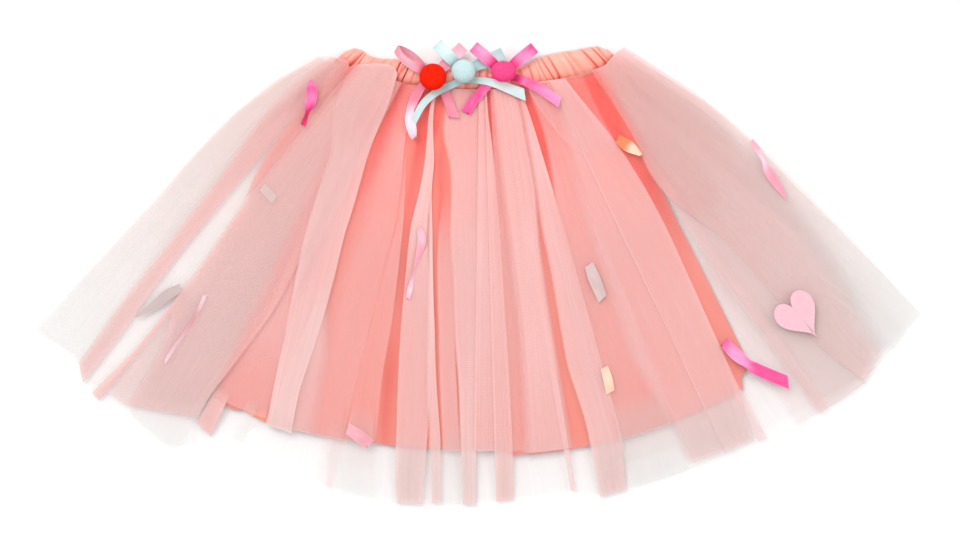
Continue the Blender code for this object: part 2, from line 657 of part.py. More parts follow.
def tail_heights(rows, outer, laid):
    """Height of a tail's middle at each of its rows, over the band, the tulle and other tails."""
    heights = []
    for x, y, lift, roll in rows:
        angle, reach = fan_place(x, y)
        height = TAIL_Z
        if reach > seam_reach(angle) - CLIMB:
            top = top_around(OUTER, outer, x, y, TAIL_WIDTH / 2 + 1.5)
            height = max(height, top + GAP + CLOTH / 2)
        for other in laid:
            if math.hypot(x - other.x, y - other.y) < TAIL_WIDTH + 1.0:
                height = max(height, other.z + CLOTH + GAP)
        heights.append(height)
    for order in (range(1, len(heights)), range(len(heights) - 2, -1, -1)):
        step = 1 if order.step > 0 else -1
        for index in order:
            heights[index] = max(heights[index], heights[index - step] - TAIL_FALL)
    return [height + row[2] for height, row in zip(heights, rows)]


def tail_stations(bow, rows, heights):
    """Stations of a tail, pinched where it passes under its own knot."""
    stations = []
    for index, (row, height) in enumerate(zip(rows, heights)):
        ahead = rows[min(index + 1, len(rows) - 1)]
        behind = rows[max(index - 1, 0)]
        along = Vector((ahead[0] - behind[0], ahead[1] - behind[1], 0.0)).normalized()
        away = math.hypot(row[0] - bow.x, row[1] - bow.y) / PINCH_RUN
        width = mix(PINCH, TAIL_WIDTH, min(away, 1.0))
        stations.append(Station(spot(row[0], row[1], height), level_across(along, row[3]), width))
    return stations


def footprint(scrap):
    """Points along a loose ribbon's middle, in millimetres."""
    return [(x, y) for x, y in curve_through(
        ((scrap.x1, scrap.y1), (scrap.x2, scrap.y2), (scrap.x3, scrap.y3)), 3)]


def scrap_stations(scrap):
    """Stations of a loose ribbon at level 0; one that lies on top lifts a little at its ends."""
    points = footprint(scrap)
    stations = []
    for index, (x, y) in enumerate(points):
        ahead = points[min(index + 1, len(points) - 1)]
        behind = points[max(index - 1, 0)]
        along = Vector((ahead[0] - behind[0], ahead[1] - behind[1], 0.0)).normalized()
        end_share = abs(2 * index / (len(points) - 1) - 1)
        lift = 0.0 if scrap.tucked else SCRAP_BOW * end_share ** 2
        centre = spot(x, y, CLOTH / 2 + lift)
        stations.append(Station(centre, level_across(along, 0.0), scrap.width))
    return stations


def tree_of(piece):
    """Search tree of a piece's faces."""
    data = piece.data
    corners = [vert.co for vert in data.vertices]
    return BVHTree.FromPolygons(corners, [tuple(face.vertices) for face in data.polygons])


def seat(mesh, below):
    """Raise a mesh made at level 0 until it just clears the wall below it."""
    own = BVHTree.FromBMesh(mesh)
    xs = [vert.co.x for vert in mesh.verts]
    ys = [vert.co.y for vert in mesh.verts]
    up = Vector((0.0, 0.0, 1.0))
    level = 0.0
    for column in range(int((max(xs) - min(xs)) / (SEAT_STEP * MM))):
        for row in range(int((max(ys) - min(ys)) / (SEAT_STEP * MM))):
            start = Vector((min(xs) + column * SEAT_STEP * MM, min(ys) + row * SEAT_STEP * MM, 0.0))
            underside = own.ray_cast(start - up, up)[0]
            top = below.ray_cast(start + up, -up)[0]
            if underside and top:
                level = max(level, top.z - underside.z)
    level += GAP * MM
    bmesh.ops.translate(mesh, verts=mesh.verts, vec=up * level)
    return level / MM


def heart_mesh():
    """Heart-shaped plate from the heart curve, turned so that its point leads to the hem."""
    angle, reach = fan_place(HEART_X, HEART_Y)
    mesh = bmesh.new()
    rim = []
    for step in range(HEART_POINTS):
        t = 2 * math.pi * step / HEART_POINTS
        wide = 16 * math.sin(t) ** 3 / 32 * HEART_WIDE
        tall = (13 * math.cos(t) - 5 * math.cos(2 * t) - 2 * math.cos(3 * t) - math.cos(4 * t))
        out = reach - (tall + 2.5) / 29 * HEART_TALL
        across = angle + math.degrees(wide / reach)
        rim.append(mesh.verts.new(on_fan(across, out, 0.0)))
    plate = mesh.faces.new(rim)
    pulled = bmesh.ops.extrude_face_region(mesh, geom=[plate])["geom"]
    raised = [part for part in pulled if isinstance(part, bmesh.types.BMVert)]
    bmesh.ops.translate(mesh, verts=raised, vec=(0.0, 0.0, HEART_THICK * MM))
    return mesh


def pompom_mesh():
    mesh = bmesh.new()
    bmesh.ops.create_uvsphere(mesh, u_segments=18, v_segments=9, radius=POMPOM / 2 * MM)
    bmesh.ops.scale(mesh, verts=mesh.verts, vec=(1.0, 1.0, POMPOM_HIGH / POMPOM))
    return mesh


# ---- The pieces ----
def clear():
    for old in list(bpy.data.objects):
        bpy.data.objects.remove(old, do_unlink=True)


def build_back():
    place("tulle_outer_back", "pale_tulle",
          flat_wall(OUTER_SIDES, OUTER_HEM, BACK_ROWS, 44, OUTER_BACK_Z, inset=1.0))
    place("tulle_inner_back", "pink_tulle",
          flat_wall(INNER_SIDES, INNER_HEM, BACK_ROWS, 36, INNER_BACK_Z, inset=2.0))
    place("lining_back", "coral_satin",
          flat_wall(LINING_SIDES, LINING_HEM, LINING_ROWS, 24, LINING_BACK_Z, inset=1.0))


def build_front():
    """Lining, inner tulle, the ribbons tucked over it and the outer tulle.

    Gives the outer tulle's sections and the search tree of its faces."""
    place("lining_front", "coral_satin",
          flat_wall(LINING_SIDES, LINING_HEM, LINING_ROWS, 34, LINING_FRONT_Z, wave=LINING_WAVE))
    inner = [front_section(INNER, share, bed_of_inner, OVER_BACK_Z) for share in TULLE_ROWS]
    net = place("tulle_inner_front", "pink_tulle", front_wall(INNER, inner, puffs=False))
    bumps = []
    for scrap in SCRAPS:
        if scrap.tucked:
            ribbon = ribbon_wall(scrap_stations(scrap))
            bumps.append((scrap, seat(ribbon, tree_of(net)) + CLOTH))
            place(scrap.name, scrap.finish, ribbon)

    def bed_of_outer(share, start, end):
        """Top of the inner tulle and what lies on it between two arcs, near one row."""
        row = TULLE_ROWS.index(share)
        top = OUTER_BACK_Z + CLOTH
        for near in range(max(row - 1, 0), min(row + 2, len(TULLE_ROWS))):
            spread = arc_scale(TULLE_ROWS[near]) / arc_scale(share)
            top = max(top, plies_under(inner[near], start * spread, end * spread))
        low = start / arc_scale(share)
        high = end / arc_scale(share)
        for scrap, scrap_top in bumps:
            places = [fan_place(x, y) for x, y in footprint(scrap)]
            spread = math.degrees(scrap.width / places[0][1])
            shares = [share_of(OUTER, angle, reach) for angle, reach in places]
            angles = [angle for angle, reach in places]
            near_row = row in rows_at(min(shares) - 0.02, max(shares) + 0.02)
            if near_row and min(angles) - spread < high and max(angles) + spread > low:
                top = max(top, scrap_top)
        over_band = low < PUFF_ANGLE + PUFF_HALF and high > PUFF_ANGLE - PUFF_HALF
        if row == 0 and over_band:
            top = max(top, BAND_CREST_Z)
        return top

    outer = [front_section(OUTER, share, bed_of_outer, INNER_BACK_Z) for share in TULLE_ROWS]
    net = place("tulle_outer_front", "pale_tulle", front_wall(OUTER, outer, puffs=True))
    return outer, tree_of(net)


def build_band():
    round_face = ((0.0, 0.55), (0.16, 0.9), (0.5, 1.0), (0.84, 0.9), (1.0, 0.5))
    place("waistband_front", "band_satin",
          band_wall(78, round_face, BAND_FRONT_Z, BAND_FRONT, RUCHE_RISE))
    place("waistband_back", "band_satin",
          band_wall(30, ((0.0, 1.0), (0.5, 1.0), (1.0, 1.0)), 0.0, BAND_BACK, 0.0))


def build_bows(outer):
    bows = {bow.name: bow for bow in BOWS}
    laid = []
    for name in TAILS_LAID:
        rows = curve_through(TAILS[name], TAIL_STEPS)
        heights = tail_heights(rows, outer, laid)
        laid += [Vector((row[0], row[1], height)) for row, height in zip(rows, heights)]
        place(name + "_tails", bows[name].finish,
              ribbon_wall(tail_stations(bows[name], rows, heights), slant=TAIL_CUT))
    for bow in BOWS:
        place(bow.name + "_loops", bow.finish, ribbon_wall(bow_loops(bow), closed=True))
    fluffs = ("orange_fluff", "aqua_fluff", "magenta_fluff")
    for bow, fluff in zip(BOWS, fluffs):
        ball = place(fluff.replace("_fluff", "_pompom"), fluff, pompom_mesh(), smooth=True)
        ball.location = spot(bow.x, bow.y, POMPOM_Z + POMPOM_HIGH / 2)


def build_trim(net):
    for scrap in SCRAPS:
        if not scrap.tucked:
            ribbon = ribbon_wall(scrap_stations(scrap))
            seat(ribbon, net)
            place(scrap.name, scrap.finish, ribbon)
    heart = heart_mesh()
    seat(heart, net)
    place("heart_patch", "heart_felt", heart)


clear()
build_back()
outer_sections, outer_net = build_front()
build_band()
build_bows(outer_sections)
build_trim(outer_net)
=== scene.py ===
"""Looks of a child's tulle skirt laid flat: net over a satin lining, a ruched waistband with bows
and pompoms, loose ribbons and a heart patch.

Metres, +Z up. Tables give millimetres and degrees: the skirt fans out, so a place on it is an
angle from its centre line and a reach from the fan's apex, above the waist.
"""
import math
from collections import namedtuple

import bmesh
import bpy
import numpy as np
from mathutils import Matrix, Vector


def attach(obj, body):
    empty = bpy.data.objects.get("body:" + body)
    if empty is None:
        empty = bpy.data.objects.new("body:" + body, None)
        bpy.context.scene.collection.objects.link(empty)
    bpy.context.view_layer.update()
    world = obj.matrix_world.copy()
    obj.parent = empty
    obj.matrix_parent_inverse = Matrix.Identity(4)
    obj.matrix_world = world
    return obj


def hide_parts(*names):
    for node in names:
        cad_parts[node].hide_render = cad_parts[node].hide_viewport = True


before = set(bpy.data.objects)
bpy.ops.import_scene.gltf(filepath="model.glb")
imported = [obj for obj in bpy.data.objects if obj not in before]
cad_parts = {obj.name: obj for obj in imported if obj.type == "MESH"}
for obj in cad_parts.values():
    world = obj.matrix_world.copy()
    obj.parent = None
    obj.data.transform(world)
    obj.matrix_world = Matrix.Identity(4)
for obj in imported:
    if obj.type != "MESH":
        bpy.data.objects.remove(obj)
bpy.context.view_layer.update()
scene = bpy.context.scene
MM = 0.001


# ---- Table top, light and camera ----
# A white sheet of board under the skirt, a broad soft lamp high on the waist side, and a lens
# straight above.
BOARD_SIZE = 6.0
BOARD_SINK = 0.0005


def finished(name, mesh, paint, smooth=True):
    """Turn a bmesh into a named and painted object at the origin."""
    data = bpy.data.meshes.new(name)
    mesh.to_mesh(data)
    mesh.free()
    if smooth:
        data.shade_smooth()
    data.materials.append(paint)
    piece = bpy.data.objects.new(name, data)
    scene.collection.objects.link(piece)
    return piece


class Wire:
    """A socket in a node tree; arithmetic on wires adds Math nodes."""

    def __init__(self, paint, socket):
        self.paint = paint
        self.socket = socket

    def maths(self, operation, *others):
        """Math node on this wire and others."""
        return self.paint.node("Math", {"operation": operation},
                               dict(enumerate((self, *others))))

    def __add__(self, other):
        return self.maths("ADD", other)

    def __sub__(self, other):
        return self.maths("SUBTRACT", other)

    def __mul__(self, other):
        return self.maths("MULTIPLY", other)

    def __rsub__(self, other):
        return self.paint.node("Math", {"operation": "SUBTRACT"}, {0: other, 1: self})

    __radd__ = __add__
    __rmul__ = __mul__


class Paint:
    """A material under construction, round one Principled shader."""

    def __init__(self, name, **constants):
        self.material = bpy.data.materials.new(name)
        self.material.use_nodes = True
        self.tree = self.material.node_tree
        self.shader = self.tree.nodes["Principled BSDF"]
        for label, value in constants.items():
            self.shader.inputs[label.replace("_", " ")].default_value = value

    def node(self, kind, settings=None, sockets=None, out=0):
        """Add a shader node; settings first, then the values or wires of its sockets."""
        made = self.tree.nodes.new("ShaderNode" + kind)
        for label, value in (settings or {}).items():
            setattr(made, label, value)
        for label, value in (sockets or {}).items():
            if isinstance(value, Wire):
                self.tree.links.new(value.socket, made.inputs[label])
            else:
                made.inputs[label].default_value = value
        return Wire(self, made.outputs[out])

    def feed(self, label, wire):
        """Lead a wire to a socket of the shader."""
        self.tree.links.new(wire.socket, self.shader.inputs[label])

    def bump(self, height, distance, strength=1.0):
        """Feed the shader's normal from a height, one unit of it standing this far proud."""
        self.feed("Normal", self.node("Bump", None, {
            "Height": height, "Distance": distance, "Strength": strength}))

    def within(self, value):
        """A wire's value, kept between 0 and 1."""
        return self.node("Clamp", None, {0: value})

    def mix(self, factor, one, two, blend="MIX"):
        """Blend of two colours."""
        return self.node("Mix", {"data_type": "RGBA", "blend_type": blend},
                         {0: factor, 6: one, 7: two}, out=2)

    def attribute(self, name):
        """Value of a vertex attribute."""
        return self.node("Attribute", {"attribute_name": name}, out=2)

    def cloth(self):
        """Place on the flat cloth."""
        return self.node("UVMap", {"uv_map": "cloth"})

    def specks(self, scale, detail=2.0):
        """Even noise through the piece's own space."""
        return self.node("TexNoise", None, {
            "Vector": self.node("TexCoord", out=3), "Scale": scale, "Detail": detail})

    def streaks(self, cloth, across, along, detail=2.0):
        """Noise on flat cloth, drawn out: so many cycles each way."""
        drawn = self.node("Mapping", None, {"Vector": cloth, "Scale": (across, along, 1.0)})
        return self.node("TexNoise", {"noise_dimensions": "2D"},
                         {"Vector": drawn, "Scale": 1.0, "Detail": detail})


board_paint = Paint("board_white", Roughness=0.9)
board_paint.feed("Base Color", board_paint.mix(
    board_paint.specks(40.0), (0.86, 0.86, 0.86, 1), (0.88, 0.88, 0.88, 1)))
board_mesh = bmesh.new()
bmesh.ops.create_grid(board_mesh, x_segments=1, y_segments=1, size=BOARD_SIZE / 2)
bmesh.ops.translate(board_mesh, verts=board_mesh.verts, vec=(0.0, 0.0, -BOARD_SINK))
board = finished("board", board_mesh, board_paint.material, smooth=False)

world = bpy.data.worlds.new("studio")
world.use_nodes = True
sky = world.node_tree.nodes["Background"].inputs
sky["Color"].default_value = (1.0, 1.0, 1.0, 1.0)
sky["Strength"].default_value = 0.80
scene.world = world

# Each lamp's place, width and watts
LAMPS = (
    ("lamp_waist_side", (-0.9, 1.3, 2.4), 1.6, 44.0),
    ("lamp_right", (1.8, 0.2, 2.2), 1.2, 13.0),
)
for lamp_name, place, wide, watts in LAMPS:
    lamp = bpy.data.lights.new(lamp_name, "AREA")
    lamp.size = wide
    lamp.energy = watts
    lamp_object = bpy.data.objects.new(lamp_name, lamp)
    lamp_object.location = place
    lamp_object.rotation_euler = Vector(place).to_track_quat("Z", "Y").to_euler()
    scene.collection.objects.link(lamp_object)

FRAME_WIDE = 0.768
FRAME_MIDDLE_Y = -0.004
LENS = 85.0
SENSOR = 36.0
camera = bpy.data.cameras.new("camera")
camera.lens = LENS
camera.sensor_width = SENSOR
camera_object = bpy.data.objects.new("camera", camera)
camera_object.location = (0.0, FRAME_MIDDLE_Y, FRAME_WIDE * LENS / SENSOR)
scene.collection.objects.link(camera_object)
scene.camera = camera_object
scene.view_settings.view_transform = "Standard"
# Enough for a ray to pass every ply of net and come back
scene.cycles.transparent_max_bounces = 24

# ---- Outer net, back half ----
# The back of the outermost layer: soft nylon net, gathered into the waistband and cut by hand
# at the hem. It lies flat on the table, under everything else.
APEX_Y = 269.6
# The waist seam and the hem as angles and reaches, and the side edges as shares of the way down
# with the angle of the left one and of the right
SEAM = ((-52.3, 162), (-46, 152.5), (-38, 144), (-30, 137), (-20, 130.5), (-10, 126.5), (0, 125),
        (10, 126.5), (20, 130), (30, 136.5), (38, 143.5), (43, 149), (48.5, 145), (50.3, 146.5))
OUTER_HEM = ((-48.3, 477.5), (-43.3, 467), (-42.4, 478.5), (-38.9, 482.5), (-36.8, 474.5),
             (-31.5, 482), (-30.2, 474), (-28, 471.5), (-27.9, 452), (-24.9, 450), (-24.7, 434),
             (-23.3, 441), (-15.4, 461), (-8.1, 462), (-0.4, 457), (3.4, 453), (9.1, 453),
             (12.1, 460.5), (21.4, 461.5), (28.8, 469.5), (32.5, 476), (34.5, 471), (40.5, 475.5),
             (43.1, 466.5), (49.2, 465.7))
OUTER_SIDES = ((0, -52.3, 50.3), (0.12, -54.1, 52), (0.25, -53.7, 53.2), (0.38, -52.4, 52.6),
               (0.55, -50.5, 51.3), (0.75, -49.3, 50.3), (1, -48.3, 49.2))
ROWS = 44
SEAM_GAP = 0.3
HEM_RADIUS = 460.0
OUTER_BACK_Z = 0.5
BACK_NET_THICK = 1.3


def look_up(table, at, column=1):
    """Values of a table's column at keys in its first column, straight between its rows."""
    return np.interp(at, [row[0] for row in table], [row[column] for row in table])


def on_fan(angle, reach, height):
    """Points in metres at angles, reaches and heights in degrees and millimetres."""
    turn = np.radians(angle)
    return MM * np.stack(np.broadcast_arrays(
        reach * np.sin(turn), APEX_Y - reach * np.cos(turn), height), -1)


class Heap:
    """The cloth laid so far: the height of its top over a grid of angles and reaches."""
    ANGLE_STEP, REACH_STEP = 0.25, 5.0
    ANGLES = np.arange(-60.0, 60.01, ANGLE_STEP)
    REACHES = np.arange(90.0, 500.0, REACH_STEP)

    def __init__(self):
        self.top = np.zeros((len(self.REACHES), len(self.ANGLES)))
        self.angle, self.reach = np.meshgrid(self.ANGLES, self.REACHES)

    def blend(self, field, across, along, join):
        """Each cell joined with its neighbours, some cells to each side."""
        for axis, count in ((1, across), (0, along)):
            pads = [(0, 0), (0, 0)]
            pads[axis] = (count, count)
            padded = np.pad(field, pads, mode="edge")
            size = field.shape[axis]
            field = join([np.take(padded, range(step, step + size), axis=axis)
                          for step in range(2 * count + 1)], axis=0)
        return field

    def bed(self, across=3, along=1):
        """Soft surface that clears the heap everywhere, as draped cloth does."""
        raised = self.blend(self.top, across, along, np.max)
        return self.blend(raised, across, along, np.mean)

    def at(self, field, angle, reach):
        """A field's values at places, by straight interpolation."""
        column = np.clip((angle - self.ANGLES[0]) / self.ANGLE_STEP, 0,
                         len(self.ANGLES) - 1.001)
        row = np.clip((reach - self.REACHES[0]) / self.REACH_STEP, 0,
                      len(self.REACHES) - 1.001)
        left, above = column.astype(int), row.astype(int)
        across, down = column - left, row - above
        near = field[above, left] * (1 - across) + field[above, left + 1] * across
        far = field[above + 1, left] * (1 - across) + field[above + 1, left + 1] * across
        return near * (1 - down) + far * down

    def lay(self, inside, bed, thick):
        """Raise the heap inside a mask to a thickness over the bed."""
        self.top = np.where(inside, np.maximum(self.top, bed + thick), self.top)


heap = Heap()
# Rows of points with their place on the flat cloth, how much of what lies below they cover, how
# deep their tint is (in places painted shade, and on ribbons their painted shine) and how far
# towards the hem they are, which greys the nets
Spots = namedtuple("Spots", "points flat cover deep dusty", defaults=(0.0,))


def add_cloth(mesh, spots):
    """Grid of faces through rows of spots, each with its place on the flat cloth."""
    flat = mesh.loops.layers.uv.get("cloth") or mesh.loops.layers.uv.new("cloth")
    stored = mesh.verts.layers.float
    names = ("cover", "deep", "dusty")
    layers = [stored.get(name) or stored.new(name) for name in names]
    looks = [np.broadcast_to(getattr(spots, name), spots.cover.shape).reshape(-1)
             for name in names]
    rows, columns = spots.cover.shape
    verts = bmesh.ops.create_grid(mesh, x_segments=columns - 1, y_segments=rows - 1)["verts"]
    for vert, point, *values in zip(verts, spots.points.reshape(-1, 3), *looks):
        vert.co = point
        for layer, value in zip(layers, values):
            vert[layer] = value
    places = dict(zip(verts, spots.flat.reshape(-1, 2)))
    for face in {face for vert in verts for face in vert.link_faces}:
        for loop in face.loops:
            loop[flat].uv = places[loop.vert]


def thicken(cover, times):
    """Cover of net that is gathered to this many times its number of threads."""
    return 1.0 - (1.0 - cover) ** times


def gathered(cover, fullness, share):
    """Cover of net with this many times its threads at the waist, and only its own at the hem."""
    return thicken(cover, 1.0 + (fullness - 1.0) * (1.0 - share))


def waist_tint(share):
    """How deep the tint is: half at the waist, and none from two fifths of the way down; painted
    shade on the linings, and on the nets partly painted shade and partly the deeper colour of
    their gathered plies.
    """
    return 0.5 - 1.3 * share


def inside_sheet(angle, reach, hem, sides):
    """Mask of the places inside a sheet's side edges and hem."""
    share = (reach - look_up(SEAM, angle)) / (look_up(hem, angle) - look_up(SEAM, angle))
    return ((share > -0.02) & (share < 1.0) & (angle > look_up(sides, share, 1))
            & (angle < look_up(sides, share, 2)))


# How far the front nets puff up over the band, by angle
PUFFS = ((-52, 0), (-50, 4), (-46, 5), (-44.6, 3), (-43.8, 0), (-42.8, 4), (-40, 8), (-37.4, 11),
         (-34, 12), (-31.2, 9.5), (-30, 6), (-29.2, 0), (18, 0), (22, 2.5), (27, 2), (30, 1.5),
         (36, 2), (44, 3), (49, 0))


def sheet_spots(sides, hem, columns, height_at, cover_at, inset=0.0, early=0.0,
                deep=lambda angle, reach, share: waist_tint(share)):
    """Spots of a fan-shaped sheet, from its hem up to the waist seam."""
    share = (np.arange(ROWS, -1, -1)[:, None] / ROWS) ** 1.15
    part = np.arange(columns + 1)[None, :] / columns
    left, right = look_up(sides, share, 1), look_up(sides, share, 2)
    angle = left + (right - left) * part
    start = look_up(SEAM, angle) + SEAM_GAP - early * look_up(PUFFS, angle)
    reach = start + (look_up(hem, angle) - inset - start) * share
    u = part * (right - left) * math.radians(HEM_RADIUS) * MM
    share = share + 0.0 * angle
    return Spots(on_fan(angle, reach, height_at(angle, reach, share)),
                 np.stack((u, reach * MM), -1), cover_at(angle, reach, share) + 0.0 * angle,
                 np.clip(deep(angle, reach, share), 0.0, 1.0), share ** 1.5)


MESH_SIZE = 0.0014


def net_paint(name, colour, shade, deep_colour, toward_hem_colour):
    """Soft nylon net: six-sided meshes, drawn together in fine streaks where it is gathered."""
    paint = Paint(name, Roughness=0.85)
    cloth = paint.cloth()
    across = paint.node("VectorMath", {"operation": "SCALE"}, {0: cloth, "Scale": 1 / MESH_SIZE})
    cells = paint.node("TexVoronoi", {"feature": "DISTANCE_TO_EDGE", "voronoi_dimensions": "2D"},
                       {"Vector": across, "Scale": 1.0, "Randomness": 0.35})
    # A thread covers more than its share and the middle of a mesh less
    threads = paint.node("MapRange", None, {0: cells, 1: 0.05, 2: 0.30, 3: 1.25, 4: 0.85})
    streaks = paint.streaks(cloth, across=260.0, along=7.0, detail=1.0)
    patchy = paint.streaks(cloth, across=22.0, along=22.0, detail=0.0)
    fall = paint.attribute("cover") * threads * (0.72 + 0.38 * streaks + 0.18 * patchy)
    paint.feed("Alpha", paint.within(fall))
    # Greyer towards the hem.
    plain = paint.mix(paint.attribute("dusty"), paint.mix(streaks, colour, shade), toward_hem_colour)
    # The deep tint is partly painted shade.
    paint.feed("Base Color", paint.mix(paint.within(paint.attribute("deep")), plain, deep_colour))
    return paint.material


def worn(name, mesh, paint, node, smooth=True):
    """Finish a piece of the skirt that shows in place of a node's solid."""
    piece = finished(name, mesh, paint, smooth)
    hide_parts(node)
    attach(piece, "root")
    return piece


pale_net = net_paint("pale_net", (0.82, 0.67, 0.64, 1), (0.74, 0.59, 0.565, 1),
                     (0.96, 0.52, 0.48, 1), (0.72, 0.69, 0.67, 1))

outer_back_mesh = bmesh.new()
add_cloth(outer_back_mesh, sheet_spots(
    OUTER_SIDES, OUTER_HEM, 90, lambda angle, reach, share: OUTER_BACK_Z,
    lambda angle, reach, share: gathered(cover=0.07, fullness=3.0, share=share), inset=1.0))
outer_back = worn("outer_net_back", outer_back_mesh, pale_net, "tulle_outer_back")
heap.lay(inside_sheet(heap.angle, heap.reach, OUTER_HEM, OUTER_SIDES), 0.0, BACK_NET_THICK)

# ---- Inner net, back half ----
# The denser pink net under the outer one. Its gathers fall into folds that hang at the same
# places all through the skirt, with almost bare net between them.
INNER_SIDES = ((0, -49, 49), (0.25, -50, 51.5), (0.5, -47.4, 50.6), (0.77, -44.6, 47.5),
               (1, -42.8, 44.8))
INNER_HEM = ((-43, 476), (-38.8, 478), (-36.9, 472), (-30.1, 454), (-28, 456), (-27.5, 428),
             (-17, 424), (-16.9, 458), (-12, 458), (-9, 459), (3.5, 453), (9.7, 452), (12, 460),
             (15, 459), (15.5, 440), (21, 440), (21.2, 455), (29, 459), (33, 460), (41, 470),
             (45, 462))
# A fold: the reach of its hem at its left and right edge, the cover of one ply, how deep its tint
# is at the waist and at the hem (partly the deeper colour of stacked plies, partly painted shade),
# the width over which it thins out at its left edge (waist, hem) and its right, the course of each
# edge as reach, angle, reach, angle and so on, and the reach where it starts, if that isn't the
# waist
Fold = namedtuple("Fold", "hem_left hem_right cover deep_waist deep_hem soft left right top",
                  defaults=(0.0,))
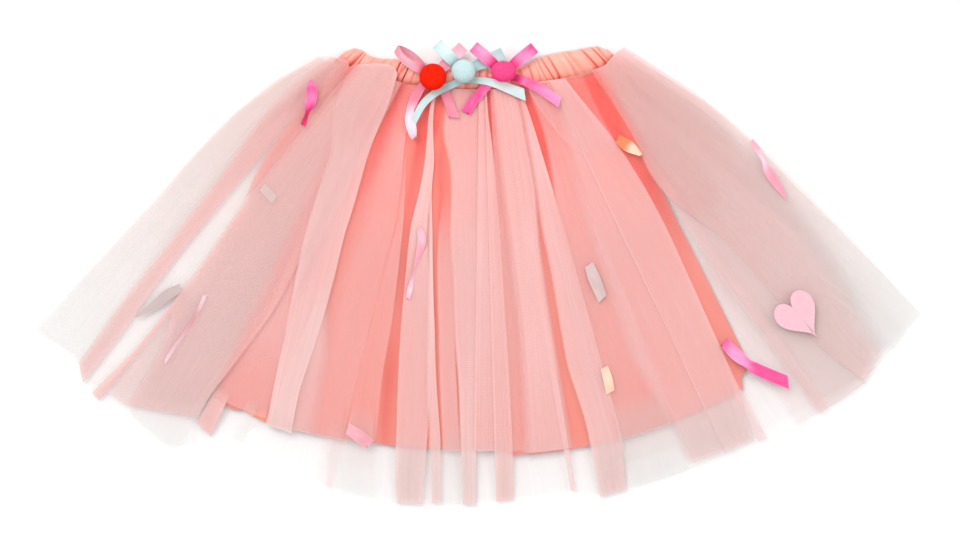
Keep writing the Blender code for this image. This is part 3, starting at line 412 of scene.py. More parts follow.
# Folds of the net in the order they lie
INNER_FOLDS = (
    # Left side
    Fold(469, 480, 0.4, 0.75, 0.22, (6, 1, 3, 1),
         (134, -50.5, 164, -51.5, 192, -51.4, 210, -51, 224, -50.6, 240, -49.4, 260, -48.2,
          280, -47.4, 320, -46, 360, -45, 400, -44.4, 440, -43.6, 478, -42.9),
         (134, -44.5, 240, -44.3, 280, -43.7, 320, -43.3, 360, -42.8, 400, -42.1, 424, -41.7,
          478, -41.3)),
    Fold(290, 290, 0.12, 0.7, 0.5, (4, 3, 3, 2),
         (134, -47.6, 192, -47.4, 240, -46.4, 272, -45.2, 290, -44.4), (134, -44.5, 290, -43.9)),
    # A dark wedge beside the left panel; its deep tint is painted shade.
    Fold(300, 296, 0.62, 1.3, 0.75, (3, 2, 1, 1),
         (134, -46, 160, -45.6, 200, -45.2, 232, -44.6, 260, -43.4, 276, -42, 288, -41.4),
         (134, -42.6, 240, -41.4, 276, -41.2, 289, -41.3)),
    Fold(481, 482, 0.42, 0.3, 0.3, (1, 0.5, 1, 0.5),
         (360, -39.9, 401, -39.6, 434, -39.6, 475, -40.1), (360, -38.9, 409, -39.1), 366),
    Fold(472, 472, 0.17, 0.2, 0.2, (1, 1, 1, 1), (360, -39.9, 475, -39.3),
         (360, -37, 475, -36.7), 366),
    Fold(452, 456, 0.5, 0.3, 0.35, (1, 0.5, 1, 0.5), (400, -30.1, 454, -30),
         (400, -28.4, 454, -28.1), 415),
    Fold(427, 424, 0.22, 0.45, 0.3, (2, 2, 2, 1),
         (134, -33, 264, -31.8, 329, -29.5, 369, -29.3, 427, -30.2),
         (320, -27, 360, -25.6, 392, -24.3, 426, -23.5)),
    Fold(436, 432, 0.2, 0.25, 0.1, (22, 14, 6, 1), (134, -36, 427, -33),
         (240, -29, 320, -28.3, 344, -28.3, 384, -29.2, 427, -30.1)),
    Fold(471, 447, 0.42, 0.74, 0.28, (2, 1, 6, 1),
         (134, -43, 164, -42.9, 192, -42.5, 224, -41.9, 256, -41.6, 276, -41.4, 317, -40.6,
          345, -40.1, 373, -39.8, 389, -39.6, 402, -37.9, 430, -37.2, 454, -37, 475, -36.7),
         (240, -29, 320, -28.3, 344, -28.3, 384, -29.2, 427, -30.1)),
    # Between the left side and the middle
    Fold(425, 420, 0.18, 0.4, 0.15, (24, 24, 1, 1), (134, -29, 240, -26, 329, -23.5, 414, -21.8),
         (134, -21.4, 164, -20.4, 184, -19, 208, -17.3, 240, -16, 320, -15.6, 419, -15.1)),
    Fold(427, 421, 0.27, 0.15, 0.06, (0, 0, 12, 16), (304, -24, 426, -23.5),
         (304, -22.5, 360, -19, 400, -18, 428, -17.5), 290),
    Fold(459, 459, 0.14, 0.2, 0.2, (1, 0.5, 1, 0.5), (400, -17.4, 419, -17, 459, -15.5),
         (400, -14.8, 459, -15), 400),
    Fold(421, 417, 0.12, 0.5, 0.25, (8, 2, 0.5, 0.5), (134, -22, 208, -18, 240, -16.6, 419, -15.4),
         (134, -20.6, 164, -19.6, 184, -18.4, 208, -16.5, 240, -14.6, 280, -13.4, 320, -12.6,
          360, -12.4, 400, -11.7, 416, -11.5)),
    Fold(428, 427, 0.47, 0.16, 0, (3.5, 1, 0, 1),
         (134, -43, 160, -42.6, 172, -41.8, 188, -38.8, 210, -34.2, 240, -32.4, 264, -31,
          293, -29.3, 325, -27.4, 357, -25.9, 393, -24.6, 426, -23.5),
         (124, -30.5, 134, -29.6, 144, -28.3, 156, -27.5, 180, -27.1, 200, -26.5, 217, -25.6,
          241, -24.6, 265, -24, 293, -22.9, 329, -22, 361, -21.6, 393, -21.4, 432, -20.4)),
    # Middle
    Fold(461, 459, 0.37, 0.25, 0.08, (1, 1, 1, 0.5),
         (134, -16.4, 148, -16, 164, -14.9, 184, -13.7, 208, -13.2, 240, -13.4, 280, -12.3,
          400, -9.6, 446, -8.9, 459, -8.3),
         (134, -15, 148, -14.4, 164, -13, 184, -11.3, 208, -10.7, 240, -10, 280, -8.2, 320, -6.8,
          360, -6.2, 400, -5.9, 458, -5.7)),
    Fold(458, 456, 0.4, 0.15, 0.08, (6, 3, 0.5, 0.5),
         (134, -13.8, 184, -12.6, 240, -10.2, 280, -8.8, 320, -7.8, 360, -7, 400, -6, 458, -5),
         (134, -14.9, 148, -14.3, 164, -13, 184, -11.2, 208, -10.6, 240, -9, 280, -7.6, 320, -6.4,
          360, -5.5, 400, -4.5, 455, -3.8)),
    Fold(415, 414, 0.27, 0.45, 0.15, (2, 2, 2, 2), (240, -8.2, 320, -6, 411, -4.2),
         (240, -5, 317, -3.5, 411, -2), 200),
    Fold(457, 457, 0.54, 0.22, 0.04, (4, 0.5, 1, 0.5),
         (134, -12.2, 164, -11, 172, -9.8, 184, -7.8, 208, -6.6, 240, -5.9, 280, -4.6, 320, -3.8,
          360, -2.8, 400, -2.3, 455, -1.7), (454, -0.4)),
    Fold(414, 414, 0.38, 0.42, 0.16, (1, 1, 1, 1), (454, -0.7), (454, 1.9)),
    Fold(455, 454, 0.42, 0.45, 0.17, (1, 0.5, 0, 0), (134, 1.5, 454, 1.6),
         (134, 2.4, 148, 2.6, 164, 3.2, 184, 3.6, 240, 3.75, 280, 3.8, 353, 3.8, 393, 3.7,
          418, 3.6, 454, 3.4)),
    Fold(415, 415, 0.16, 0.5, 0.2, (1, 1, 2, 2), (134, 3.4, 415, 3.2),
         (134, 5.6, 240, 6, 415, 6.4)),
    # Between the middle and the right side
    Fold(417, 418, 0.42, 0.45, 0.22, (4, 12, 3, 7),
         (134, 3.8, 184, 4.2, 240, 4.7, 320, 5, 400, 4.6, 419, 4.2),
         (134, 13.5, 208, 12.8, 232, 11.8, 248, 11.2, 280, 10.8, 320, 10.6, 360, 10.5, 419, 10.4)),
    Fold(451, 452, 0.36, 0.14, 0.14, (1, 0.5, 1, 0.5), (336, 8.9, 451, 9.2),
         (336, 9.9, 451, 9.75), 330),
    Fold(461, 460, 0.48, 0.5, 0.08, (6, 0.5, 0, 0),
         (134, 12.2, 192, 12, 240, 11.4, 280, 11.5, 320, 11.3, 353, 11.2, 377, 11.7, 400, 12.1,
          459, 12),
         (134, 14.6, 148, 15.2, 164, 15.5, 192, 15.7, 233, 15.9, 353, 15.8, 419, 15.7, 459, 14.7)),
    Fold(420, 421, 0.18, 0.6, 0.16, (4, 1, 3, 3),
         (134, 16.4, 160, 17.2, 192, 16.6, 220, 15.4, 248, 14.8), (134, 22.2, 419, 22)),
    Fold(456, 458, 0.31, 0.42, 0.06, (18, 8, 1, 0.5),
         (134, 20.6, 240, 18.6, 360, 18.8, 424, 20.9, 457, 21.2), (134, 25.6, 457, 25.4)),
    Fold(215, 215, 0.25, 0.9, 0.6, (1, 1, 4, 3), (134, 29.5, 210, 31.5),
         (134, 36, 148, 35.6, 164, 34.4, 184, 33.4, 210, 33.2)),
    Fold(458, 460, 0.37, 0.32, 0.08, (1, 0.5, 1, 1), (134, 24.6, 368, 25.2, 457, 25.1),
         (134, 30, 148, 30.7, 164, 31.7, 184, 32.6, 208, 33.1, 240, 33, 280, 32.3, 320, 31.3,
          360, 30.5, 400, 29.9, 422, 29.5, 457, 28.4)),
    Fold(204, 214, 0.24, 0.32, 0.18, (1, 1, 6, 6),
         (124, 16.5, 138, 16.9, 162, 19.6, 186, 22.4, 200, 25, 210, 28),
         (124, 29, 148, 30.6, 164, 31.6, 184, 32.5, 210, 33)),
    Fold(463, 465, 0.2, 0.2, 0.2, (1, 0.5, 1, 0.5), (336, 29.2, 457, 28.6),
         (336, 30, 466, 29.6), 400),
    # Right side
    Fold(468, 470, 0.07, 0.4, 0.15, (3, 3, 2, 2), (300, 33.6, 360, 32.8, 400, 32.5, 467, 32.6),
         (300, 35.4, 467, 35.7), 290),
    Fold(470, 473, 0.2, 0.14, 0.1, (4, 2, 2, 1), (224, 35, 256, 34.8, 320, 34.6, 467, 35),
         (224, 40, 309, 40.3, 369, 40.3, 467, 40.6), 200),
    Fold(470, 470, 0.2, 0.14, 0.14, (2, 0.5, 2, 0.5), (264, 35.2, 417, 35.3),
         (264, 37.2, 329, 37, 369, 36.6, 467, 36.2), 262),
    Fold(471, 464, 0.43, 0.66, 0.14, (1, 1, 22, 30),
         (134, 40.8, 148, 39.2, 164, 38.2, 184, 37.3, 208, 36.5, 228, 35.2, 240, 34.8, 260, 35.2,
          280, 36.4, 296, 37.6, 309, 38.4, 337, 38.7, 369, 38.9, 410, 39.05, 442, 39.6, 467, 40.4),
         (134, 50, 172, 52, 240, 52.4, 280, 51.4, 320, 49.8, 344, 48.9, 369, 48.2, 393, 47.4,
          414, 46.4, 438, 45.2, 462, 44.6)),
    Fold(296, 300, 0.18, 0.9, 0.6, (1, 3, 16, 12),
         (134, 39.2, 148, 37.8, 164, 37.6, 184, 37.2, 208, 36.8, 228, 35.4, 240, 35, 260, 35.4,
          280, 36.5, 300, 37.8), (134, 44.5, 184, 45.5, 240, 45, 300, 43)),
)


def edge_at(edge, reach):
    """Angle of a fold's edge at a reach, its bends softened."""
    return np.mean([np.interp(reach + shift, edge[::2], edge[1::2])
                    for shift in (-8.0, -4.0, 0.0, 4.0, 8.0)], axis=0)


def fold_gather(fold, reach):
    """How many times more threads a fold holds at a reach than at its hem."""
    end = min(fold.hem_left, fold.hem_right)
    wide = (edge_at(fold.right, reach) - edge_at(fold.left, reach)) * reach
    full = (edge_at(fold.right, end) - edge_at(fold.left, end)) * end
    return np.clip(full / np.maximum(wide, 1.0), 0.6, 2.0)


# Cover of a single ply of the inner net where no fold lies
BARE_COVER = 0.03


def folds_cover(folds, plies):
    """Function that gives the cover of a flat sheet at places, from the folds it falls into."""
    def cover_at(angle, reach, share):
        cover = BARE_COVER + 0.0 * angle
        for fold in folds:
            inside = (reach > fold.top) & (reach < min(fold.hem_left, fold.hem_right))
            depth = np.minimum(angle - edge_at(fold.left, reach),
                               edge_at(fold.right, reach) - angle)
            dense = (thicken(fold.cover, plies * fold_gather(fold, reach))
                     * np.clip(depth, 0.0, 1.0))
            cover = np.where(inside, np.maximum(cover, dense), cover)
        return cover
    return cover_at


pink_net = net_paint("pink_net", (0.95, 0.70, 0.685, 1), (0.90, 0.64, 0.625, 1),
                     (0.93, 0.28, 0.25, 1), (0.83, 0.63, 0.61, 1))

inner_back_mesh = bmesh.new()
add_cloth(inner_back_mesh, sheet_spots(
    INNER_SIDES, INNER_HEM, 220, lambda angle, reach, share: BACK_NET_THICK + OUTER_BACK_Z,
    folds_cover(INNER_FOLDS, plies=0.8), inset=2.0))
inner_back = worn("inner_net_back", inner_back_mesh, pink_net, "tulle_inner_back")
heap.lay(inside_sheet(heap.angle, heap.reach, INNER_HEM, INNER_SIDES), BACK_NET_THICK,
         BACK_NET_THICK)

# ---- Lining ----
# A plain flared skirt of coral satin, its hem turned up and stitched. The front lies on the
# back, a little shorter, so the back shows as a bright edge.
LINING_BACK_HEM = ((-30, 427), (-25.9, 427), (-23.7, 428), (-21.9, 426), (-19.5, 423),
                   (-12, 416.5), (0, 412.5), (3.5, 417), (15, 418.5), (32.2, 400))
LINING_HEM = ((-30, 429), (-27.4, 430), (-25.9, 425), (-23.8, 417.5), (-23.4, 426), (-21, 424.5),
              (-12, 417.5), (0, 413), (1.4, 413.5), (3.5, 419), (15, 420.5), (27, 421.5),
              (30, 421.5), (30.5, 412), (31.6, 410), (32.2, 402))
LINING_SIDES = ((0, -45, 43.5), (0.08, -39.6, 40.2), (0.15, -37, 38.8), (0.235, -35.4, 37.7),
                (0.31, -34.2, 36.5), (0.42, -33, 35.4), (0.5, -32.4, 34.6), (0.64, -31.4, 33.7),
                (0.79, -30.8, 32.9), (1, -29.8, 32))
LINING_THICK = 2.8
# How high its soft folds stand, slow and quick ones, and how far its deep folds dip
SLOW_WAVE, QUICK_WAVE, DIP = 0.38, 0.16, 0.5


def lining_wave(angle, reach, share):
    """Soft folds that run down the lining and die out at the waist."""
    slow = np.sin(np.radians(angle * 31.0 + 18.0 * np.sin(angle * 0.31)))
    quick = np.sin(np.radians(angle * 77.0 + reach * 0.25))
    return (SLOW_WAVE * slow + QUICK_WAVE * quick) * np.minimum(1.0, share * 3.0)


# Deep folds in the lining's front, which sink it and darken it with painted shade: width to the
# left and right of each in degrees, and its course as reaches, angles and depths
LINING_DIPS = (
    (1.6, 3.6, ((134, -28.2, 0.6), (164, -26, 0.6), (188, -25.4, 0.5), (216, -24.5, 0.4),
                (256, -23, 0.4), (304, -22, 0.25), (360, -21, 0))),
    (0.9, 1.1, ((134, -28.6, 1.2), (148, -26.7, 1.3), (164, -25.2, 1.2), (184, -24.7, 0.8),
                (216, -24.2, 0.3), (240, -24, 0))),
    (1, 2, ((134, -16.8, 1.2), (164, -16.4, 1), (192, -15.5, 0.6), (240, -14, 0.5),
            (280, -13, 0.6), (320, -12.2, 0.6), (360, -11.8, 1.2), (400, -11, 1.2),
            (416, -10.6, 1.2))),
    (1, 1, ((128, -14, 1.2), (152, -13.2, 1.2), (164, -12.6, 0.6), (172, -12, 0))),
    (1.2, 1.5, ((164, -10.5, 0.2), (184, -10, 0.5), (208, -8.6, 0.5), (240, -7.5, 0.5),
                (280, -6, 0.3), (320, -5, 0.15), (400, -3.4, 0.1))),
    (0.6, 1, ((128, 2.9, 1), (148, 3.3, 0.8), (164, 3.9, 0.5), (208, 4.2, 0.5), (240, 4.6, 0.4),
              (320, 4.8, 0.3), (360, 4.8, 0.2), (400, 4.6, 0))),
    (0.9, 0.9, ((248, 11, 0), (280, 11, 0.15), (320, 10.9, 0.15), (360, 10.9, 0.25),
                (416, 11, 0.3))),
    (0.8, 2.2, ((128, 15, 1.4), (164, 16.3, 1.2), (184, 16, 0.8), (200, 16, 0.3), (216, 16, 0))),
    (2.5, 2.5, ((132, 36.5, 0.8), (148, 36.8, 0.9), (164, 35.5, 0.9), (184, 35, 1),
                (208, 34.3, 0.6), (240, 34, 0.9), (280, 33.4, 0.6), (320, 32.6, 0.4),
                (360, 31.6, 0.35), (412, 30.8, 0.4))),
)


def lining_dips(angle, reach):
    """How deep the lining's front dips at a place, 0 to about 1; this also sets its painted shade
    there.
    """
    total = 0.0 * (angle + reach)
    for left, right, course in LINING_DIPS:
        off = angle - look_up(course, reach, 1)
        wide = np.where(off < 0, left, right)
        total = total + look_up(course, reach, 2) * np.exp(-(off / wide) ** 2)
    return total


def satin_paint(name, colour, shade, deep_colour, roughness=0.42, waist_light=0.0):
    """Satin: a close weave, with painted sheen on its pulled wrinkles, painted shade where its
    tint deepens, and a painted light at the waist when asked for.
    """
    paint = Paint(name, Roughness=roughness, Sheen_Weight=0.15, Sheen_Roughness=0.4,
                  Specular_IOR_Level=0.35)
    cloth = paint.cloth()
    weave = paint.streaks(cloth, across=1800.0, along=260.0)
    pull = paint.streaks(cloth, across=60.0, along=5.0, detail=3.0)
    # The pulled wrinkles, the bump's own noise, are painted lighter on their crests: a painted
    # sheen. The deep tint is painted shade.
    woven = paint.mix(paint.within(paint.attribute("deep")), paint.mix(
        0.65 * pull + 0.35 * weave, colour, shade), deep_colour)
    # A painted light near the waist where asked for, fading out about halfway down.
    waist = paint.within(waist_light - 3.0 * paint.attribute("dusty"))
    paint.feed("Base Color", paint.mix(waist, woven, (1.36, 1.08, 1.0, 1), "MULTIPLY"))
    paint.bump(pull + 0.06 * weave, distance=0.0012, strength=0.6)
    return paint.material


# The front lining's deep colour is painted shade in its dips and near the waist; its waist light
# paints light back on near the waist.
coral_satin = satin_paint("coral_satin", (0.72, 0.19, 0.15, 1), (0.78, 0.24, 0.19, 1),
                          (0.64, 0.06, 0.045, 1), waist_light=1.0)
inside_satin = satin_paint("coral_satin_inside", (0.95, 0.24, 0.13, 1), (0.98, 0.30, 0.17, 1),
                           (0.84, 0.085, 0.065, 1))

# Each half's tint deepens with painted shade near the waist, and the front's also in its dips.
for name, node, level, wave, lining_hem, paint in (
        ("lining_back_satin", "lining_back", 3.1, 0.0, LINING_BACK_HEM, inside_satin),
        ("lining_front_satin", "lining_front", 4.55, 1.0, LINING_HEM, coral_satin)):
    lining_mesh = bmesh.new()
    add_cloth(lining_mesh, sheet_spots(
        LINING_SIDES, lining_hem, 240,
        lambda angle, reach, share: level + wave * (
            lining_wave(angle, reach, share) - DIP * lining_dips(angle, reach)),
        lambda angle, reach, share: 1.0, inset=1.0,
        deep=lambda angle, reach, share: wave * lining_dips(angle, reach) + waist_tint(share)))
    lining = worn(name, lining_mesh, paint, node)
heap.lay(inside_sheet(heap.angle, heap.reach, LINING_HEM, LINING_SIDES), 2 * BACK_NET_THICK,
         LINING_THICK)

# ---- Waistband ----
# A casing of coral satin round a broad elastic, ruched in front; the back half lies flat under
# it. The panels are sewn to its lower edge.
BAND_TOP = ((-48.3, 142), (-47.3, 136), (-45.2, 133), (-41.8, 132), (-38.8, 129), (-33.4, 121),
            (-22.9, 113), (0, 108), (14, 113), (24.4, 110.5), (30, 112), (34.9, 116),
            (42.9, 125.6), (45.9, 130.4), (47.2, 138))
BAND_COLUMNS = 560
BAND_ROWS = 20
# Ruches: the angle of each gathered line and how deep it is
RUCHES = ((-50.5, 0.5), (-49.3, 1), (-46.5, 0.3), (-43.6, 1), (-42.2, 0.8), (-39.5, 0.25),
          (-36.5, 0.4), (-33.5, 0.3), (-30.4, 1.6), (-29, 0.7), (-28, 1.6), (-25, 0.4), (-22, 0.5),
          (-18, 0.5), (-14, 0.6), (-10, 0.5), (-5, 0.5), (0, 0.6), (4, 0.5), (8, 0.5), (12, 0.6),
          (16, 0.5), (19, 0.6), (22, 0.35), (24.5, 0.5), (26.6, 1), (28.3, 0.9), (31.2, 0.2),
          (34, 0.45), (36.8, 0.3), (40.4, 0.9), (43.2, 1), (45, 0.6), (47.5, 0.5))
BAND_FRONT_Z = 3.3
BAND_FULL = 5.0
RUCHE_RISE = 2.4
BAND_FOOT_Z = 5.6
BAND_LAP = 0.6
BAND_REACH = 135.0
BAND_FULLNESS = 1.6


def band_spots(level, full, rise):
    """Face of the band from its seam to its top, rising in ruches between their lines."""
    first, last = BAND_TOP[0][0], BAND_TOP[-1][0]
    angle = np.linspace(first, last, BAND_COLUMNS + 1)[None, :]
    up = np.linspace(0.0, 1.0, BAND_ROWS + 1)[:, None]
    lean = angle + 0.9 * np.sin(angle * 0.55) * up + 0.35 * np.sin(angle * 2.1 + up * 3.0)
    line = np.interp(lean, [ruche[0] for ruche in RUCHES], np.arange(len(RUCHES)))
    trough = abs(2.0 * (line % 1.0) - 1.0) ** 3.0
    deep = np.array([ruche[1] for ruche in RUCHES])[np.round(line).astype(int)]
    fine = 0.2 * np.sin(lean * 5.0 + 3.0 * np.sin(up * 3.0 + lean))
    round_face = (1.0 - abs(2.0 * up - 1.0) ** 3) ** 0.5
    reach = look_up(SEAM, angle) + BAND_LAP
    reach = reach + (look_up(BAND_TOP, angle) - reach) * up
    height = level + round_face * (full + rise * ((1.0 - deep * trough) + fine * 0.25))
    u = np.radians(angle) * BAND_REACH * MM * BAND_FULLNESS + 0.0 * up
    # The tint deepens with painted shade in the troughs between ruches and towards the seam.
    return Spots(on_fan(angle, reach, height), np.stack((u, reach * MM), -1), 1.0 + 0.0 * height,
                 1.1 * deep * trough ** 2 + 0.3 * (1.0 - up) ** 2 + 0.0 * height)


band_satin = satin_paint("band_satin", (0.88, 0.27, 0.20, 1), (0.99, 0.51, 0.42, 1),
                         (0.66, 0.07, 0.05, 1), 0.36)
for name, node, level, full, rise, area in (
        ("waistband_back_satin", "waistband_back", 0.4, 2.5, 0.0, 0.0046),
        ("waistband_front_satin", "waistband_front", BAND_FRONT_Z, BAND_FULL, RUCHE_RISE,
         0.0064)):
    band_mesh = bmesh.new()
    add_cloth(band_mesh, band_spots(level, full, rise))
    band = worn(name, band_mesh, band_satin, node)
band_reach = look_up(BAND_TOP, heap.angle)
on_band = ((heap.reach > band_reach) & (heap.reach < look_up(SEAM, heap.angle) - 1.0)
           & (heap.angle > BAND_TOP[0][0]) & (heap.angle < BAND_TOP[-1][0]))
BAND_CREST_Z = BAND_FRONT_Z + BAND_FULL + RUCHE_RISE
# Where the front nets puff up they lie on the ruches' crests, and elsewhere at the band's foot
puffed = look_up(PUFFS, heap.angle) > 0.5
heap.lay(on_band, 0.0, np.where(puffed, BAND_CREST_Z - BAND_LAP, BAND_FOOT_Z))

# ---- Inner net, front half ----
# The same pink net in front. Each gather lies over as a flattened fold, two plies thick, on the
# layer's own base, and folds lie over each other.
NET_CLEAR = 0.35
BASE_THICK = 0.9
BASE_RISE = 0.6
FOLD_THICK = 0.65
FOLD_GAP = 0.2
# How high the gathers stand: small and wide ones that end this far below the seam, and long ones
SMALL_GATHER, WIDE_GATHER, LONG_GATHER = 0.5, 0.9, 0.3
GATHERS_END = 60.0
WAIST_REACH = 134.0
# A fold's turned edge is this much denser, over this width
EDGE_DENSER = 0.12
EDGE_TURN = 0.9
# Share of a fold's length over which one that starts below the waist fades in; folds whose hem
# is nearer than this fade out over these millimetres
FADE_IN = 0.3
SHORT_FOLD = 400.0
FADE_OUT = 26.0
ACROSS = (0.0, 0.012, 0.035, 0.07, 0.12, 0.18, 0.26, 0.37, 0.5, 0.63, 0.74, 0.82, 0.88, 0.93,
          0.965, 0.988, 1.0)


def gathers(angle, reach):
    """Small gathers at the waist seam and long shallow ones below, in millimetres of height."""
    near = np.clip(1.0 - (reach - look_up(SEAM, angle)) / GATHERS_END, 0.0, 1.0)
    small = SMALL_GATHER * np.sin(angle * 5.1 + 1.4 * np.sin(angle * 0.9))
    wide = WIDE_GATHER * np.sin(angle * 1.9 + 1.1 * np.sin(angle * 0.41))
    long = LONG_GATHER * np.sin(angle * 1.05 + 2.0 * np.sin(angle * 0.23) + reach * 0.004)
    return (small + wide) * near ** 1.4 + long


def lay_base(mesh, bed, sides, hem, columns, cover, on_lining, fullness):
    """Lay a net's base sheet over the heap; it covers less on the lining than beside it."""
    def height_at(angle, reach, share):
        rise = np.maximum(0.0, gathers(angle, reach) + BASE_RISE)
        return heap.at(bed, angle, reach) + NET_CLEAR + rise

    def cover_at(angle, reach, share):
        thinner = (cover - on_lining) * heap.at(over_lining, angle, reach)
        return gathered(cover - thinner, fullness, share)
    add_cloth(mesh, sheet_spots(sides, hem, columns, height_at, cover_at, early=1.0))
    inside = inside_sheet(heap.angle, heap.reach, hem, sides)
    heap.lay(inside, bed, NET_CLEAR + BASE_THICK)


def fold_thinning(fold, part, share, wide, start, end, reach):
    """Share of a fold's cover that is there: less at soft edges and at ends that fade."""
    edges = zip((part, 1.0 - part), (fold.soft[:2], fold.soft[2:]))
    thin = math.prod(np.clip(inwards * wide / np.maximum(
        soft[0] + (soft[1] - soft[0]) * share, 0.01), 0.0, 1.0) for inwards, soft in edges)
    if fold.top:
        thin = thin * np.clip((reach - start) / (FADE_IN * (end - start)), 0.0, 1.0)
    if fold.hem_left < SHORT_FOLD:
        thin = thin * np.clip((end - reach) / FADE_OUT, 0.0, 1.0)
    return thin * thin * (3.0 - 2.0 * thin)


def lay_fold(mesh, fold):
    """Lay a flattened fold over the heap as a tube, from the waist seam to its own hem."""
    bed = heap.bed()
    share = (np.arange(ROWS, -1, -1)[:, None] / ROWS) ** 1.1
    part = np.array(ACROSS + ACROSS[::-1])[None, :]
    upper = np.array((0.0,) * len(ACROSS) + (1.0,) * len(ACROSS))[None, :]
    end = fold.hem_left + (fold.hem_right - fold.hem_left) * part
    reach = WAIST_REACH + (end - WAIST_REACH) * share
    # The edges are read at a reach that depends on them, so both settle in two rounds
    for settling in range(2):
        left, right = edge_at(fold.left, reach), edge_at(fold.right, reach)
        angle = left + (right - left) * part
        start = np.maximum(look_up(SEAM, angle) + SEAM_GAP - look_up(PUFFS, angle), fold.top)
        reach = start + (end - start) * share
    full = (1.0 - (2.0 * part - 1.0) ** 8) ** 0.5
    rise = NET_CLEAR + FOLD_THICK * (0.5 + (upper - 0.5) * full)
    rise = rise + upper * full * 0.5 * np.maximum(0.0, gathers(angle + 3.1, reach) + 0.3)
    wide = (right - left) * np.radians(reach)
    u = (part + upper * (2.0 - 2.0 * part)) * wide.max() * MM
    turned = 1.0 + EDGE_DENSER * np.exp(-np.minimum(part, 1.0 - part) * wide / EDGE_TURN)
    cover = thicken(fold.cover, fold_gather(fold, reach) * turned) * fold_thinning(
        fold, part, share, wide, start, end, reach)
    deep = fold.deep_hem + (fold.deep_waist - fold.deep_hem) * (1.0 - share) ** 1.5
    dusty = (1.0 - heap.at(over_lining, angle, reach)) * share ** 2.5
    add_cloth(mesh, Spots(on_fan(angle, reach, heap.at(bed, angle, reach) + rise),
                          np.stack((u + 0.0 * reach, reach * MM), -1), cover, deep, dusty))
    end = fold.hem_left + (fold.hem_right - fold.hem_left) * np.clip(
        (heap.angle - edge_at(fold.left, heap.reach))
        / np.maximum(edge_at(fold.right, heap.reach) - edge_at(fold.left, heap.reach), 0.01),
        0.0, 1.0)
    inside = ((heap.angle > edge_at(fold.left, heap.reach))
              & (heap.angle < edge_at(fold.right, heap.reach)) & (heap.reach < end)
              & (heap.reach > fold.top))
    heap.lay(inside, bed, NET_CLEAR + FOLD_THICK + FOLD_GAP)


over_lining = inside_sheet(heap.angle, heap.reach, LINING_HEM, LINING_SIDES).astype(float)
over_lining = heap.blend(over_lining, 4, 2, np.mean)
inner_mesh = bmesh.new()
lay_base(inner_mesh, heap.bed(across=6, along=2), INNER_SIDES, INNER_HEM, columns=200,
         cover=BARE_COVER, on_lining=0.015, fullness=2.5)
for fold in INNER_FOLDS:
    lay_fold(inner_mesh, fold)
bmesh.ops.remove_doubles(inner_mesh, verts=inner_mesh.verts, dist=1e-6)
inner_front = worn("inner_net_front", inner_mesh, pink_net, "tulle_inner_front")

# ---- Loose ribbons under the outer net ----
# Short lengths of narrow satin ribbon, dropped between the two nets and held there by a stitch.
# Each is a flat woven strip with a firm edge on both sides, cut aslant.


def smooth_run(rows, steps):
    """Smooth run of values through rows of numbers, with some steps between each two."""
    rows = np.array(rows, dtype=float)
    padded = np.vstack((2 * rows[0] - rows[1], rows, 2 * rows[-1] - rows[-2]))
    t = np.arange(steps)[:, None] / steps
    runs = [0.5 * (2 * start + (end - before) * t
                   + (2 * before - 5 * start + 4 * end - after) * t ** 2
                   + (3 * start - before - 3 * end + after) * t ** 3)
            for before, start, end, after in zip(padded, padded[1:], padded[2:], padded[3:])]
    return np.vstack(runs + [rows[-1:]])


def ribbon_spots(run, columns=6, slants=(0.0, 0.0)):
    """Spots of a ribbon along a run of places in millimetres: x, y, z, roll, width and shine."""
    centre, roll, wide, shine = run[:, :3], np.radians(run[:, 3:4]), run[:, 4:5], run[:, 5:6]
    along = np.gradient(centre, axis=0)
    along /= np.linalg.norm(along, axis=1, keepdims=True)
    level = np.cross(along, (0.0, 0.0, 1.0))
    level /= np.linalg.norm(level, axis=1, keepdims=True)
    across = level * np.cos(roll) + np.cross(level, along) * np.sin(roll)
    part = np.linspace(-0.5, 0.5, columns + 1)
    points = centre[:, None, :] + across[:, None, :] * (wide * part)[:, :, None]
    for end, slant in zip((0, -1), slants):
        points[end] += along[end] * (slant * (part[:, None] + 0.5))
    length = np.concatenate(((0.0,), np.cumsum(np.linalg.norm(np.diff(centre, axis=0), axis=1))))
    flat = np.stack(np.broadcast_arrays((part + 0.5)[None, :], length[:, None] * MM), -1)
    # The shine goes in as the deep attribute: painted shade and highlight along the ribbon.
    return Spots(points * MM, flat, np.ones(points.shape[:2]), shine + 0.0 * points[:, :, 0])


def ribbon_paint(name, colour, shade, painted_shade, bright):
    """Satin ribbon: fine threads across it, painted gloss in long streaks, painted shade and
    highlights by its shine, and a firm woven edge.
    """
    paint = Paint(name, Roughness=0.33, Sheen_Weight=0.2, Sheen_Roughness=0.35)
    cloth = paint.cloth()
    place = paint.node("SeparateXYZ", None, {"Vector": cloth})
    edge = paint.node("Math", {"operation": "ABSOLUTE"}, {0: place - 0.5})
    firm = paint.node("MapRange", None, {0: edge, 1: 0.42, 2: 0.47, 3: 0.0, 4: 1.0})
    weave = paint.streaks(cloth, across=3.0, along=2600.0)
    sheen = paint.streaks(cloth, across=2.0, along=70.0)
    shine = paint.attribute("deep") + (0.5 * sheen - 0.25)
    threaded = paint.mix(
        paint.within(0.75 * sheen + 0.25 * weave + 0.35 * firm), colour, shade)
    with_shade = paint.mix(paint.within(shine * -1.0), threaded, painted_shade)
    paint.feed("Base Color", paint.mix(paint.within(shine), with_shade, bright))
    paint.feed("Roughness", 0.26 + 0.16 * weave + 0.12 * firm)
    paint.bump(0.3 * weave + firm, distance=0.0002, strength=0.7)
    return paint.material
